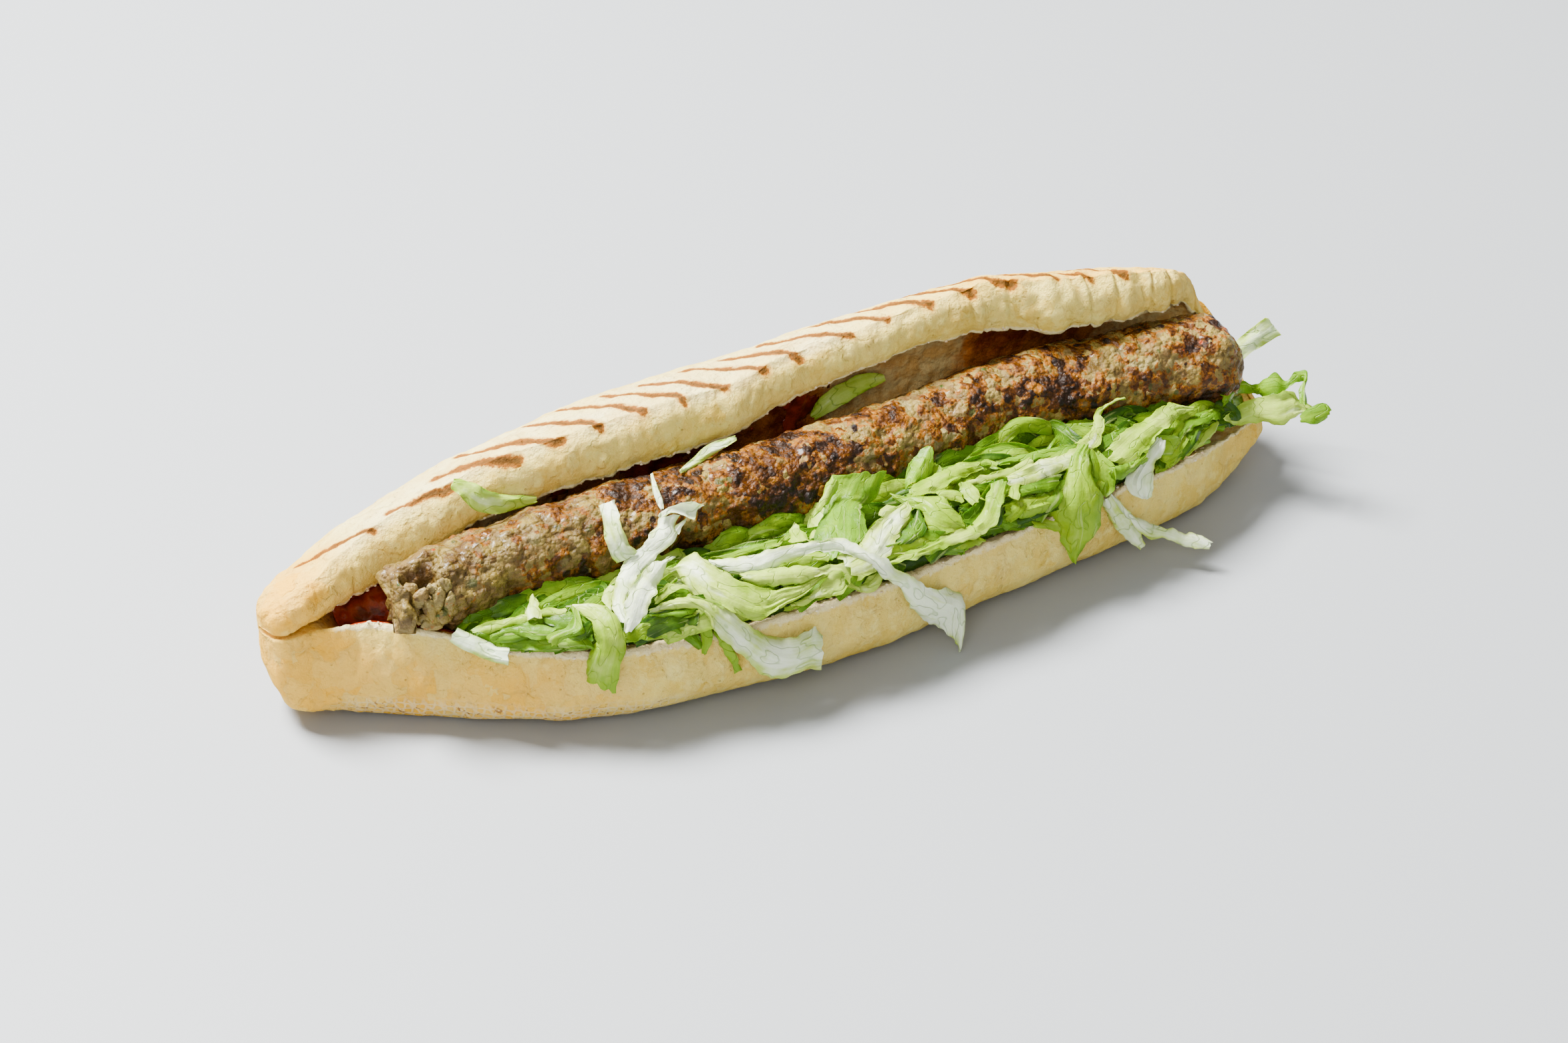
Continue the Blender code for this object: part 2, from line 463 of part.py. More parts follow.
def roll_rings(grow=0.0, left=-1.0, right=1.0):
    """Rings of the roll between left and right. A positive grow swells it, into the mouth too, to fit the lettuce."""
    rings = []
    for x in crowded(ROLL_STATIONS, FRONT_Y[0][0], FRONT_Y[-1][0]):
        if not left < x < right:
            continue
        section = roll_section(x)
        count = len(section)
        ring = []
        for i, (y, z) in enumerate(section):
            before, after = section[i - 1], section[(i + 1) % count]
            normal = Vector((before[1] - after[1], after[0] - before[0])).normalized()
            swell = grow
            if z > 0.004:
                swell -= lumps(x, y, z, CRUST_SWELL_SIZE, CRUST_SWELL)
            ring.append((x, y + normal.x * swell, max(z + normal.y * swell, along(BASE_Z, x) - grow)))
        rings.append(ring)
    return rings


def kebab_rings(grow=0.0):
    """Rings of the kebab: a rounded right end, and on the left a torn end."""
    rings = []
    for x in crowded(KEBAB_STATIONS, KEBAB_LEFT - grow, KEBAB_RIGHT + grow):
        axis_y, radius = along(KEBAB_AXIS_Y, x), along(KEBAB_RADIUS, x)
        right = min(1.0, max(0.0, (x - (KEBAB_RIGHT - END_ROUND)) / END_ROUND))
        left = min(1.0, max(0.0, 1 - (x - KEBAB_LEFT) / 0.0035))
        taper = (0.42 + 0.58 * math.sqrt(1 - right * right)) * (1 - 0.22 * left * left)
        tear = min(1.0, max(0.0, 1 - (x - KEBAB_LEFT) / TORN_LENGTH))
        ring = []
        for i in range(KEBAB_SIDES):
            a = 2 * math.pi * i / KEBAB_SIDES
            c, s = math.cos(a), math.sin(a)
            swell = lumps(x, radius * c, radius * s, 0.030, KEBAB_BEND)
            swell += lumps(x + 1, radius * c, radius * s, KEBAB_LUMP_SIZE, KEBAB_LUMP * (1 + tear))
            swell += NUB_HEIGHT * max(0.0, 1 - math.hypot((x - NUB_X) / 0.0035, (a - 1.25) / 0.35))
            r = (radius + swell) * taper + grow
            shift = tear * TORN_DEPTH * noise.noise(Vector((c * 1.7, s * 1.7, 4.2)))
            y, z = axis_y + r * c, KEBAB_Z + r * s
            if x < REST_END:
                inward = max(0.0, y - along(LIP_Y, x) - 0.0010)
                z = max(z, along(LIP_Z, x) + 0.0013 - 0.8 * inward - grow)
            ring.append((x + shift, y, z))
        rings.append(ring)
    return rings


def torn_end(rings):
    """Adds the hollow that the skewer left: inner rings that turn back into the left end."""
    first = rings[0]
    middle = sum((Vector(p) for p in first), Vector()) / len(first)
    inner = []
    for share, depth in ((0.74, 0.0002), (0.46, 0.0024), (0.28, SKEWER_HOLE_DEPTH)):
        ring = []
        for i, p in enumerate(first):
            ragged = 0.0024 * noise.noise(Vector((i * 0.55, share * 7, 2.0)))
            place = middle + (Vector(p) - middle) * share
            ring.append((middle.x + depth + ragged * share, place.y, place.z))
        inner.append(ring)
    return inner[::-1] + rings


def bed_rings():
    """Rings of the packed shreds that fill the mouth in front of the kebab."""
    rings = []
    for k in range(BED_STATIONS):
        x = mix(BED_LEFT, BED_RIGHT, k / (BED_STATIONS - 1))
        near = along(LIP_Y, x) + 0.0004
        far = along(KEBAB_AXIS_Y, x) - 0.0020
        top, low = along(BED_TOP, x), FLOOR_Z - 0.0010
        ring = []
        for i in range(BED_SIDES):
            a = 2 * math.pi * i / BED_SIDES
            c, s = math.cos(a), math.sin(a)
            y = mix(near, far, 0.5 + 0.5 * math.copysign(abs(c) ** 0.8, c))
            z = mix(low, top, 0.5 + 0.5 * math.copysign(abs(s) ** 0.8, s))
            rough = 0.0020 if s > -0.2 else 0.0
            z += rough * noise.noise(Vector((x, y, z)) / 0.0060)
            ring.append((x + rough * noise.noise(Vector((x, y + 1, z)) / 0.0080), y, z))
        rings.append(ring)
    return rings


def shred(name, points, number, finish, steps):
    """A thin wavy ribbon of leaf. Both its faces carry the same triangles, so its thickness holds everywhere."""
    path = smooth(points, steps)
    across = (-1, 0, 1) if max(p[3] for p in points) > NARROW else (-1, 1)
    n = len(across)
    shape = bmesh.new()
    rows = []
    for k, (x, y, z, width) in enumerate(path):
        before, after = path[max(k - 1, 0)], path[min(k + 1, len(path) - 1)]
        ahead = Vector(after[:3] - before[:3]).normalized()
        out = Vector((-0.34, -0.75, 0.56))
        out = (out - ahead * out.dot(ahead)).normalized()
        side = ahead.cross(out)
        roll = math.radians(TWIST * noise.noise(Vector((k * 0.7 / steps, number * 3.7, 1.0))))
        side, out = side * math.cos(roll) + out * math.sin(roll), out * math.cos(roll) - side * math.sin(roll)
        half = max(width, 0.0008) / 2
        row = []
        for face in (0.5, -0.5):
            for j in across:
                wave = RUFFLE * noise.noise(Vector((k * 1.4 / steps, j * 1.3, number * 5.1))) * abs(j)
                spot = Vector((x, y, z)) + side * (j * half) + out * (wave - CURL * abs(j) * half)
                row.append(shape.verts.new(spot + out * face * SHRED_THICK))
        rows.append(row)
    for near, far in zip(rows, rows[1:]):
        for j in range(n - 1):
            shape.faces.new((near[j], near[j + 1], far[j + 1]))
            shape.faces.new((near[j], far[j + 1], far[j]))
            shape.faces.new((near[j + n], far[j + n + 1], near[j + n + 1]))
            shape.faces.new((near[j + n], far[j + n], far[j + n + 1]))
        for a, b in ((0, n), (2 * n - 1, n - 1)):
            shape.faces.new((near[a], far[b], near[b]))
            shape.faces.new((near[a], far[a], far[b]))
    for row in (rows[0], rows[-1]):
        for j in range(n - 1):
            shape.faces.new((row[j], row[j + 1], row[j + n + 1]))
            shape.faces.new((row[j], row[j + n + 1], row[j + n]))
    face_outward(shape)
    mesh = bpy.data.meshes.new(name)
    shape.to_mesh(mesh)
    shape.free()
    mesh.shade_smooth()
    mesh.set_sharp_from_angle(angle=math.radians(50))
    mesh.materials.append(finish)
    return bpy.data.objects.new(name, mesh)


def apply_boolean(target, operation, others):
    """Joins or cuts the target with every object of a collection, then removes those objects."""
    modifier = target.modifiers.new(operation.lower(), "BOOLEAN")
    modifier.operation = operation
    modifier.operand_type = "COLLECTION"
    modifier.collection = others
    modifier.solver = "EXACT"
    modifier.use_self = operation == "UNION"
    graph = bpy.context.evaluated_depsgraph_get()
    graph.update()
    made = bpy.data.meshes.new_from_object(target.evaluated_get(graph))
    target.modifiers.clear()
    target.data = made
    for other in list(others.objects):
        bpy.data.objects.remove(other)


def keep_largest(obj):
    """Keeps only the largest connected piece of a mesh."""
    shape = bmesh.new()
    shape.from_mesh(obj.data)
    bmesh.ops.remove_doubles(shape, verts=shape.verts, dist=0.000001)
    left = set(shape.verts)
    best = []
    while left:
        seen, queue = set(), [left.pop()]
        while queue:
            vert = queue.pop()
            seen.add(vert)
            for edge in vert.link_edges:
                other = edge.other_vert(vert)
                if other in left:
                    left.discard(other)
                    queue.append(other)
        if len(seen) > len(best):
            best = seen
    bmesh.ops.delete(shape, geom=[v for v in shape.verts if v not in best], context="VERTS")
    bmesh.ops.triangulate(shape, faces=shape.faces)
    shape.to_mesh(obj.data)
    shape.free()
    obj.data.shade_smooth()
    obj.data.set_sharp_from_angle(angle=math.radians(50))


def cutter_collection(name):
    made = bpy.data.collections.new(name)
    made.hide_render = True
    bpy.context.scene.collection.children.link(made)
    return made


def add_cutter(home, obj):
    obj.hide_render = True
    obj.display_type = "WIRE"
    home.objects.link(obj)


def give_way(obj, home, finish):
    """Cuts the roll and the kebab, each swollen by the gap, out of a piece of lettuce."""
    for name, rings in (("roll_guard", roll_rings(GAP, *GUARD_X)), ("kebab_guard", kebab_rings(GAP))):
        add_cutter(home, loft(name, rings, finish))
        apply_boolean(obj, "DIFFERENCE", home)


def main():
    clear_scene()
    sandwich = bpy.data.collections.new("kebab_baguette")
    bpy.context.scene.collection.children.link(sandwich)
    crust = material("crust", CRUST_COLOUR, 0.75)
    meat = material("meat", MEAT_COLOUR, 0.45)
    leaf = material("lettuce", LETTUCE_COLOUR, 0.50)

    sandwich.objects.link(loft("bread", roll_rings(), crust))
    sandwich.objects.link(loft("kebab", torn_end(kebab_rings()), meat))

    # Shreds join the bed, and the heap then gives way to the roll and the kebab
    heap = loft("lettuce", bed_rings(), leaf)
    sandwich.objects.link(heap)
    strips = cutter_collection("shreds")
    for number, points in enumerate(SHREDS):
        add_cutter(strips, shred("shred", points, number, leaf, 1))
    apply_boolean(heap, "UNION", strips)
    guards = cutter_collection("guards")
    give_way(heap, guards, leaf)
    keep_largest(heap)

    # Pieces that lie apart from the heap
    for number, (name, points) in enumerate(LONE_SHREDS):
        lone = shred(name, points, number + 60, leaf, 1)
        sandwich.objects.link(lone)
        give_way(lone, guards, leaf)
        keep_largest(lone)


main()
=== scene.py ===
import math
import random

import bmesh
import bpy
import numpy as np
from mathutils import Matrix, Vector, noise


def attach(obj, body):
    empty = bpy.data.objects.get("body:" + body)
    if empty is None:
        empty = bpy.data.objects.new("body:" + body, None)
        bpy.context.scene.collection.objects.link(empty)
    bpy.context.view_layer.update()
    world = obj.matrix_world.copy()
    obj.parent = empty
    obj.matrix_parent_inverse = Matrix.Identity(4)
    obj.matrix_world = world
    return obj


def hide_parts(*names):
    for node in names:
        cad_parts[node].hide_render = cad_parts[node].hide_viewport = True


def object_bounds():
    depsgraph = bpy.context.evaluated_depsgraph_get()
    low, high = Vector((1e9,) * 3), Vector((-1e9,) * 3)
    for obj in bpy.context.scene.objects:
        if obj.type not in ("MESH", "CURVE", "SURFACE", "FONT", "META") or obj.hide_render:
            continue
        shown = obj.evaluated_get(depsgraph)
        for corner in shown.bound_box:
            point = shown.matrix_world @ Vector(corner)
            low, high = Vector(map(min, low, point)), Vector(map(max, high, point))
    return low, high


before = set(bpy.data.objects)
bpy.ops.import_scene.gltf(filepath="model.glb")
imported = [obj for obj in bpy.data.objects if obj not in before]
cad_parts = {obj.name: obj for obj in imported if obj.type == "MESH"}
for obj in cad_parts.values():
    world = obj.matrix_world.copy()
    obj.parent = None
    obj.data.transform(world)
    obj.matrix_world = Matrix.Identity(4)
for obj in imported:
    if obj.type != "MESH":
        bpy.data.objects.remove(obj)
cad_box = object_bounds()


def curve(*tenths):
    """Pairs of x and a value in metres, from whole tenths of a millimetre."""
    return [(x / 10000, value / 10000) for x, value in zip(tenths[::2], tenths[1::2])]


# Roll: plan and side profiles along X, each a few x, value pairs joined by a smooth curve
FRONT_Y = curve(
    -1325, 10, -1320, -25, -1306, -60, -1270, -90, -1210, -108, -1120, -150, -1040, -192, -935, -258, -840, -312,
    -690, -385, -500, -430, -200, -440, 30, -424, 220, -392, 500, -335, 800, -270, 1050, -196, 1200, -115, 1270, -75,
    1320, -40, 1340, 0,
)
LIP_Y = curve(
    -1325, 4, -1306, -50, -1270, -74, -1220, -78, -1165, -92, -1090, -114, -1020, -158, -960, -200, -810, -304, -600,
    -395, -300, -424, 30, -410, 240, -374, 464, -330, 914, -228, 1150, -132, 1290, -40, 1340, 2,
)
BACK_Y = curve(
    -1325, 16, -1320, 40, -1302, 70, -1270, 108, -1210, 150, -1150, 184, -1060, 222, -950, 260, -500, 310, 0, 340,
    500, 360, 900, 340, 1120, 300, 1220, 270, 1280, 235, 1315, 165, 1332, 90, 1340, 20,
)
BASE_Z = curve(
    -1325, 170, -1320, 135, -1306, 90, -1280, 42, -1220, 28, -1120, 11, -1020, 0, 1060, 0, 1200, 26, 1270, 62, 1320,
    95, 1340, 120,
)
LIP_Z = curve(
    -1325, 240, -1220, 262, -1090, 270, -960, 262, -810, 240, -500, 228, 0, 225, 600, 220, 914, 208, 1150, 182, 1290,
    155, 1340, 135,
)
EDGE_Y = curve(
    -1325, 12, -1320, -5, -1306, -44, -1270, -66, -1220, -62, -1120, -20, -980, 20, -750, 30, -590, 15, -400, 20,
    -110, 45, 50, 90, 200, 100, 450, 125, 600, 130, 780, 80, 980, 85, 1080, 90, 1150, 122, 1210, 165, 1265, 176, 1310,
    120, 1340, 8,
)
EDGE_Z = curve(
    -1325, 250, -1220, 274, -1120, 278, -980, 290, -750, 375, -590, 410, -400, 420, -110, 430, 50, 455, 200, 475, 450,
    490, 600, 490, 780, 475, 980, 452, 1080, 450, 1160, 432, 1220, 375, 1270, 300, 1305, 225, 1340, 140,
)
LID_THICK = curve(
    -1325, 10, -1320, 40, -1302, 60, -1250, 78, -1150, 100, -1040, 128, -930, 145, -800, 130, -600, 126, -300, 132, 0,
    112, 250, 102, 450, 107, 650, 125, 850, 130, 1000, 118, 1120, 95, 1210, 70, 1265, 60, 1305, 40, 1340, 6,
)
REAR_Z = curve(
    -1325, 256, -1320, 280, -1302, 298, -1270, 308, -1210, 318, -1150, 325, -1040, 345, -940, 368, -830, 395, -730,
    412, -600, 440, -360, 470, 50, 486, 200, 494, 450, 508, 600, 498, 820, 480, 990, 460, 1110, 432, 1200, 400, 1270,
    372, 1305, 300, 1325, 190, 1340, 137,
)
DEEP_Y = curve(
    -1325, 14, -1240, 0, -1080, 60, -950, 110, -600, 150, 0, 200, 500, 225, 1000, 225, 1150, 222, 1220, 212, 1270,
    188, 1310, 130, 1340, 13,
)
MOUTH = ((-0.1325, 0.0), (-0.124, 0.0), (-0.106, 1.0), (0.125, 1.0), (0.134, 0.3))
FLOOR_Z = 0.018
CRUST_SWELL, CRUST_SWELL_SIZE = 0.0006, 0.02
# The stretches of the roll's section with the points on each, and how many sections there are
STRETCHES = ("lower", "floor", "roof", "edge", "top", "back")
COUNTS = (38, 38, 26, 32, 42, 24)
STATIONS = 470

# Kebab: a hand-pressed sausage of minced meat, pulled off its skewer at the left end
KEBAB_AXIS_Y = curve(
    -1060, -135, -1000, -126, -860, -102, -700, -88, -540, -76, -300, -60, 0, -45, 150, -32, 280, -2, 440, 22, 600,
    46, 750, 47, 900, 38, 1050, 45, 1160, 34, 1250, 20,
)
KEBAB_RADIUS = curve(
    -1060, 88, -980, 94, -860, 103, -700, 113, -500, 118, 0, 120, 600, 122, 1000, 125, 1160, 124, 1250, 120,
)
KEBAB_Z = 0.0315
KEBAB_LEFT, KEBAB_RIGHT = -0.1045, 0.125
KEBAB_LUMP, KEBAB_LUMP_SIZE, KEBAB_BEND = 0.001, 0.008, 0.0006
END_ROUND = 0.0085
TORN_LENGTH, TORN_DEPTH, HOLLOW_X = 0.011, 0.0034, -0.0975
NUB_X, NUB_HEIGHT = 0.1205, 0.0016
# Left of this the kebab's underside lies on the lower lip instead of on the crumb
REST_END = -0.078
MEAT_STATIONS, MEAT_SIDES = 500, 190

# Lettuce: a packed bed along the mouth in painted shade, small shreds that fill it up and cut leaves on top
BED_LEFT, BED_RIGHT = -0.09, 0.119
BED_TOP = curve(
    -900, 280, -750, 305, -500, 310, 0, 315, 400, 325, 900, 312, 1190, 270,
)
BED_DROP = 0.0046
FILL_SHREDS = 220
RUFFLE, CURL, TWIST = 0.0012, 0.12, 26.0
# Where the leaves' upper faces look, more or less
FACING = (-0.34, -0.75, 0.56)
SHEET_STEP = 0.0008
# Colours of a leaf from white to dark green; the dark end also gives the packed bed its painted shade
LEAF_GREENS = ((0.0, (0.76, 0.89, 0.61)), (0.2, (0.4, 0.53, 0.08)), (0.42, (0.225, 0.37, 0.004)),
               (0.68, (0.108, 0.24, 0.001)), (1.0, (0.018, 0.058, 0.001)))
# Sheets of lettuce: green (0 white, 1 strong, or several along it), thickness in mm, bow across, then its two
# edges in tenths of a mm: six numbers at a time, a point of one edge and the way from there to the other edge,
# all as steps from the six before
SHEETS = (
    (0.62, 0.5, 0.05, (-307, -256, 318, 22, -14, -3, 60, 0, -1, -10, -4, -5, 56, 0, 6, -3, -2, -2, 46, -4, 3, -7, 1,
     -1)),
    (0.32, 0.5, 0.1, (-71, -209, 320, 2, -2, -1, -26, -30, -3, 28, -9, 3, -26, -46, 5, 24, -9, 1)),
    (0.4, 0.6, 0.1, (-163, -284, 327, 0, -3, -3, 17, 3, -2, 0, -4, -1, 14, 11, 3, 3, 1, 0, 14, 11, 1, -2, -1, -1, 11,
     2, -4, -3, 1, 1)),
    (0.66, 0.5, 0.08, (481, -174, 323, 0, -14, -8, 74, -4, 4, -2, -4, -3, 91, -11, 6, 0, -1, -1, 50, 1, -7, 3, 6, 5)),
    (0.84, 0.5, 0.06, (480, -275, 319, -7, -29, -21, 63, -5, -3, 1, 2, 2, 61, 3, -6, -18, 5, -3)),
    (0.5, 0.5, 0.1, (426, -316, 300, -3, -24, -17, 66, 16, -5, -10, -20, -15, 81, 6, -8, -17, 11, 1)),
    (0.74, 0.5, 0.1, (418, -322, 291, -25, -26, -24, 40, 0, -32, 0, 3, 3, 45, 8, -27, 5, 11, 7)),
    (0.36, 0.5, 0.12, (505, -323, 234, -1, -13, -9, 38, 8, -12, -4, -11, -7, 39, 0, -22, -1, 8, 3)),
    (0.3, 0.5, 0.08, (93, -369, 299, -5, -14, -10, 69, 5, -8, 3, -6, -3, 65, 2, -8, 2, 4, 3)),
    (0.42, 0.5, 0.1, (252, -368, 271, 0, -15, -10, 64, 15, -13, -7, -6, -5, 57, 13, -27, 0, 15, 9)),
    (0.3, 0.5, 0.08, (346, -241, 335, 0, -11, -7, 72, 12, -2, -2, -6, -4, 73, 9, -5, 2, -1, 0, 67, 15, 5, 4, 0, 1)),
    (0.45, 0.5, 0.12, (283, -249, 335, 1, -19, -12, 32, -7, 3, -1, -7, -6, 26, -21, -8, -12, 9, 4)),
    (0.42, 0.6, 0.15, (348, -242, 337, 23, -11, 0, -12, -33, -9, 18, -2, 4, 12, -36, -13, -11, 12, 5)),
    (0.44, 0.5, 0.12, (471, -271, 317, 23, -9, 1, -35, -40, -4, 5, -10, -5)),
    (0.5, 0.5, 0.12, (443, -164, 327, -1, -19, -12, 22, 0, 0, -4, 0, -2, 16, -21, -4, -2, 9, 6)),
    (0.78, 0.5, 0.1, (937, -218, 251, 26, 1, 8, 38, 31, 25, -4, -12, -9, 46, 33, 12, -3, -13, -9, 74, 34, -11, -3, -7,
     -5, 95, 74, -40, -13, 0, -4, 125, 110, -75, -7, 9, 4)),
    (0.6, 0.5, 0.1, (923, -220, 252, 9, -6, -1, 33, 27, 25, 0, -6, -4, 35, 29, 15, 1, -5, -3, 50, 18, -9, -6, 7, 3, 73,
     25, -6, -4, 4, 2)),
    (0.92, 0.5, 0.1, (739, -200, 320, 12, -22, -10, 48, 19, 6, -5, -2, -3, 33, 9, 0, 4, 7, 6, 34, 0, -4, -15, 5, -2)),
    (0.33, 0.5, 0.1, (904, -211, 221, -3, -22, -15, 38, 13, 9, 3, -7, -3, 48, 9, 8, 3, 5, 3, 48, 17, 7, 4, -2, 0, 50,
     19, 6, -7, 3, 0, 36, 16, -1, 1, 12, 8)),
    (0.5, 0.5, 0.06, (-583, -380, 264, -5, -20, -15, 34, 1, 8, -7, -8, -6, 29, 4, 8, -7, -7, -7, 58, -17, -2, -8, 4,
     0)),
    (0.8, 0.5, 0.08, (-465, -398, 283, -13, -19, -16, 28, -15, -25, -4, 3, 1, 23, -8, -21, -1, 1, 0, 15, -12, -28, 2,
     12, 8)),
    (0.58, 0.5, -0.12, (-440, -409, 285, 46, -11, 6, 20, -9, -21, -7, -1, -2, 13, -10, -24, -13, 4, -1, -1, -8, -24,
     -6, 1, -2, -4, -5, -21, -11, 1, -2)),
    (0.55, 0.5, 0.1, (-373, -419, 236, 12, -6, -1, 8, -13, -28, 8, 1, 6, 15, -7, -34, 0, -1, -1, 17, -10, -52, -3, 1,
     -1)),
    (0.14, 0.5, 0.12, (-569, -265, 316, 14, -3, 2, -21, -22, -2, 14, -2, 4, -10, -28, -4, -11, -2, -6, -2, -30, -2, -6,
     5, 2)),
    (0.3, 0.5, 0.05, (-490, -349, 314, 1, -12, -7, 25, 14, 6, 4, -7, -4, 30, 7, 8, 6, 0, 3, 32, -15, -10, -8, 9, 3)),
    (0.62, 0.5, 0.1, (-481, -342, 321, 2, -5, -2, 25, 11, 3, -1, -2, -1, 24, 11, 4, 0, 1, 0, 17, 9, -3, 0, 4, 2)),
    (0.72, 0.6, 0.2, (-541, -385, 291, 1, -3, -2, 26, 1, 8, 0, -3, -2, 39, -8, 1, 0, -5, -3, 37, -5, 0, -2, -5, -3, 30,
     -4, 0, -1, 6, 4)),
    (0.36, 0.5, 0.1, (-901, -249, 284, 8, -13, -6, 41, -6, 12, -10, -8, -9, 43, -12, 5, 2, 3, 4, 40, -7, 7, 0, 0, 0,
     45, -9, 6, -2, 0, -1, 49, -17, 0, -6, 0, -3)),
    (0.18, 0.45, 0.1, (-738, -221, 318, 2, -4, -3, -18, -26, -8, 19, -2, 9, -18, -20, 1, 12, -5, -2, -7, -29, -5, 1,
     -3, -2)),
    (0.72, 0.5, 0.12, (-866, -272, 273, 2, -12, -7, 47, -15, 19, -1, -6, -4, 56, -26, 6, -18, -7, -10, 35, -27, -1, -6,
     14, 7)),
    (0.7, 0.5, 0.14, (-850, -285, 254, 4, -8, -4, 45, -8, 16, -3, -26, -18, 33, -18, 3, -4, -1, -1, 36, -27, -3, 5, 12,
     9)),
    (0.62, 0.5, 0.14, (-730, -345, 271, -1, -20, -13, 37, -9, 4, -5, -5, -6, 27, -16, -7, 1, 5, 5, 12, -18, -15, 4, 14,
     10)),
    (0.86, 0.5, 0.1, (-739, -283, 304, -2, -19, -13, 30, -18, 3, -6, -13, -10, 40, -19, 4, -1, -10, -7, 25, -30, -17,
     -5, 1, -1)),
    (0.6, 0.5, 0.18, (-675, -303, 315, 14, -16, -6, -9, -34, -9, 5, -3, 0, -21, -18, -9, 17, -2, 3, -26, 4, -3, 2, -6,
     -3, -22, 3, -9, -3, 6, 2, -3, -6, -15, -15, 9, 2)),
    (0.24, 1.1, 0.22, (-278, -360, 326, 1, -13, -7, 34, -5, 0, -8, -12, -11, 42, -4, 1, -4, -8, -7, 41, -7, -2, -6, 1,
     -1, 40, -9, -3, 0, 3, 2, 24, -10, -5, 6, 13, 10, 16, -11, -9, 11, 13, 13)),
    (0.42, 0.5, 0.1, (-196, -338, 318, -1, -14, -9, 39, -3, 2, -1, -1, -1, 47, -3, 6, -4, -5, -5, 30, -4, -3, -1, 1, 1,
     30, -7, -4, 0, 4, 2)),
    (0.26, 0.5, 0.16, (-182, -433, 263, 0, -6, -4, 36, 3, 5, -2, -9, -6, 27, 6, 5, 7, -3, 0, 30, 14, 13, -4, -17, -13,
     26, 12, 9, 1, -15, -9, 31, -4, 1, -9, 16, 8)),
    (0.22, 0.5, -0.16, (-113, -407, 316, -1, -12, -8, 40, 4, 5, -2, -2, -3, 32, 0, -4, -2, -1, 0, 40, -5, -12, -29,
     -12, -16)),
    (0.22, 0.5, 0.18, (-34, -424, 273, -2, -10, -7, 34, 4, -17, -2, -6, -4, 29, 9, 4, 2, -13, -9, 24, 2, 9, -6, 1, 0,
     13, -5, 6, 8, 24, 18)),
    (0.34, 0.5, 0.05, (-190, -414, 245, 0, -10, -7, 39, -1, 5, -1, -2, -1, 40, 0, 3, 2, 1, 2, 40, -1, -4, -1, 3, 1)),
    (0.17, 0.5, 0.1, (-37, -375, 320, 22, -65, -35, 67, 20, 6, -6, -4, -4, 38, 30, 4, 8, 4, 5, 41, 25, 4, -3, 12, 6,
     39, 21, 4, -1, 11, 7, 31, 12, -3, -1, 18, 10, 23, 15, -3, -16, 20, 9)),
    (0.3, 0.5, 0.1, (127, -255, 322, 3, -19, -12, 31, 18, 3, 3, -2, 0, 15, -8, -2, -1, 14, 9)),
    (0.93, 0.5, 0.12, (218, -288, 328, 1, -2, -1, -39, -30, -13, 34, -14, 1, -31, -21, -5, 11, -10, -3, -40, -25, -13,
     -4, 14, 7)),
    (0.44, 0.5, 0.14, (185, -204, 332, -1, -15, -11, 24, -35, 4, 2, -12, -6, 29, -30, 9, -16, -3, -7, 35, -16, 5, -43,
     -31, -32, 16, -33, -18, 25, 15, 16, 19, -38, -31, 25, 39, 33)),
    (0.86, 0.5, -0.1, (318, -326, 318, -8, -32, -23, 38, 15, -2, -1, -11, -6, 42, 31, 15, -1, -1, -3, 42, 20, 0, 13,
     21, 17)),
    ((0.4, 0.55, 0.3, 0.42, 0.62), 0.55, 0.16, (78, -405, 288, 0, -8, -4, 57, 13, 0, 5, -9, -6, 59, 12, 1, -3, -4, -2,
     61, 14, 4, -2, -6, -5, 63, 9, 3, 1, -4, -3, 42, 20, 11, 9, -9, -3, 27, 28, 20, 8, 2, 3, 27, 27, 9, 1, 3, 3, 26,
     24, -1, 0, 12, 8)),
    (0.42, 0.55, 0.12, (213, -225, 332, 28, -19, -4, 55, 24, 8, -3, -17, -12, 49, 17, 2, 0, 1, 1, 54, 15, 2, -6, -2,
     -4, 53, 3, -9, 1, 8, 6)),
    (0.58, 0.55, 0.2, (321, -128, 384, 8, -6, -2, -18, 2, -10, 13, -18, -8, -28, -4, -16, 14, -20, -8, -26, -27, -12,
     2, 14, 10, -26, -51, -15, -18, 36, 18)),
    (0.55, 0.5, 0.1, (331, -135, 342, -29, -19, -21, 6, -26, -1, 14, 5, 7, 7, -14, -4, 13, 9, 10)),
    (0.15, 0.5, 0.14, (466, -255, 334, -4, -22, -15, 54, 11, 5, -2, -17, -11, 52, 8, 3, 5, -4, -2, 52, 5, -7, 2, 9, 7,
     55, 16, 1, 12, 6, 7, 50, 29, 1, 2, 5, 4, 40, 40, 0, -1, 11, 7)),
    (0.32, 0.5, 0.12, (679, -205, 339, 20, -23, -9, 38, 19, 0, 0, -12, -8, 38, 26, 3, -8, 9, 4, 17, 31, 1, 11, 12, 11,
     19, 21, 3, -18, 2, -4, 22, 4, 8, -3, 5, 2, 26, 1, 9, -1, 1, 1, 29, -2, 4, 2, 0, 0)),
    ((0.62, 0.66, 0.7, 0.74, 0.74), 0.55, 0.1, (58, -148, 383, 120, -48, 8, -11, -2, -13, -8, -8, -15, -15, -15, -23,
     -11, 1, -6, -15, -29, -14, -21, 22, 17, -35, -42, -14, 20, 2, 14, -33, -43, -8, 18, -11, -3, -3, -47, -7, -33, 15,
     0, 3, -37, -4, -51, 20, -4)),
    (0.38, 0.5, 0.1, (47, -172, 402, 4, -19, -23, -22, -8, -21, 1, -3, -3, -25, -22, -24, 4, 10, 16, -36, -28, -16, -7,
     10, 7)),
    (0.22, 0.5, 0.1, (1141, -136, 252, 4, -7, -6, 57, 44, -16, -5, -17, -29, 38, -1, 16, 1, -8, -9, 22, -27, 22, 1, -9,
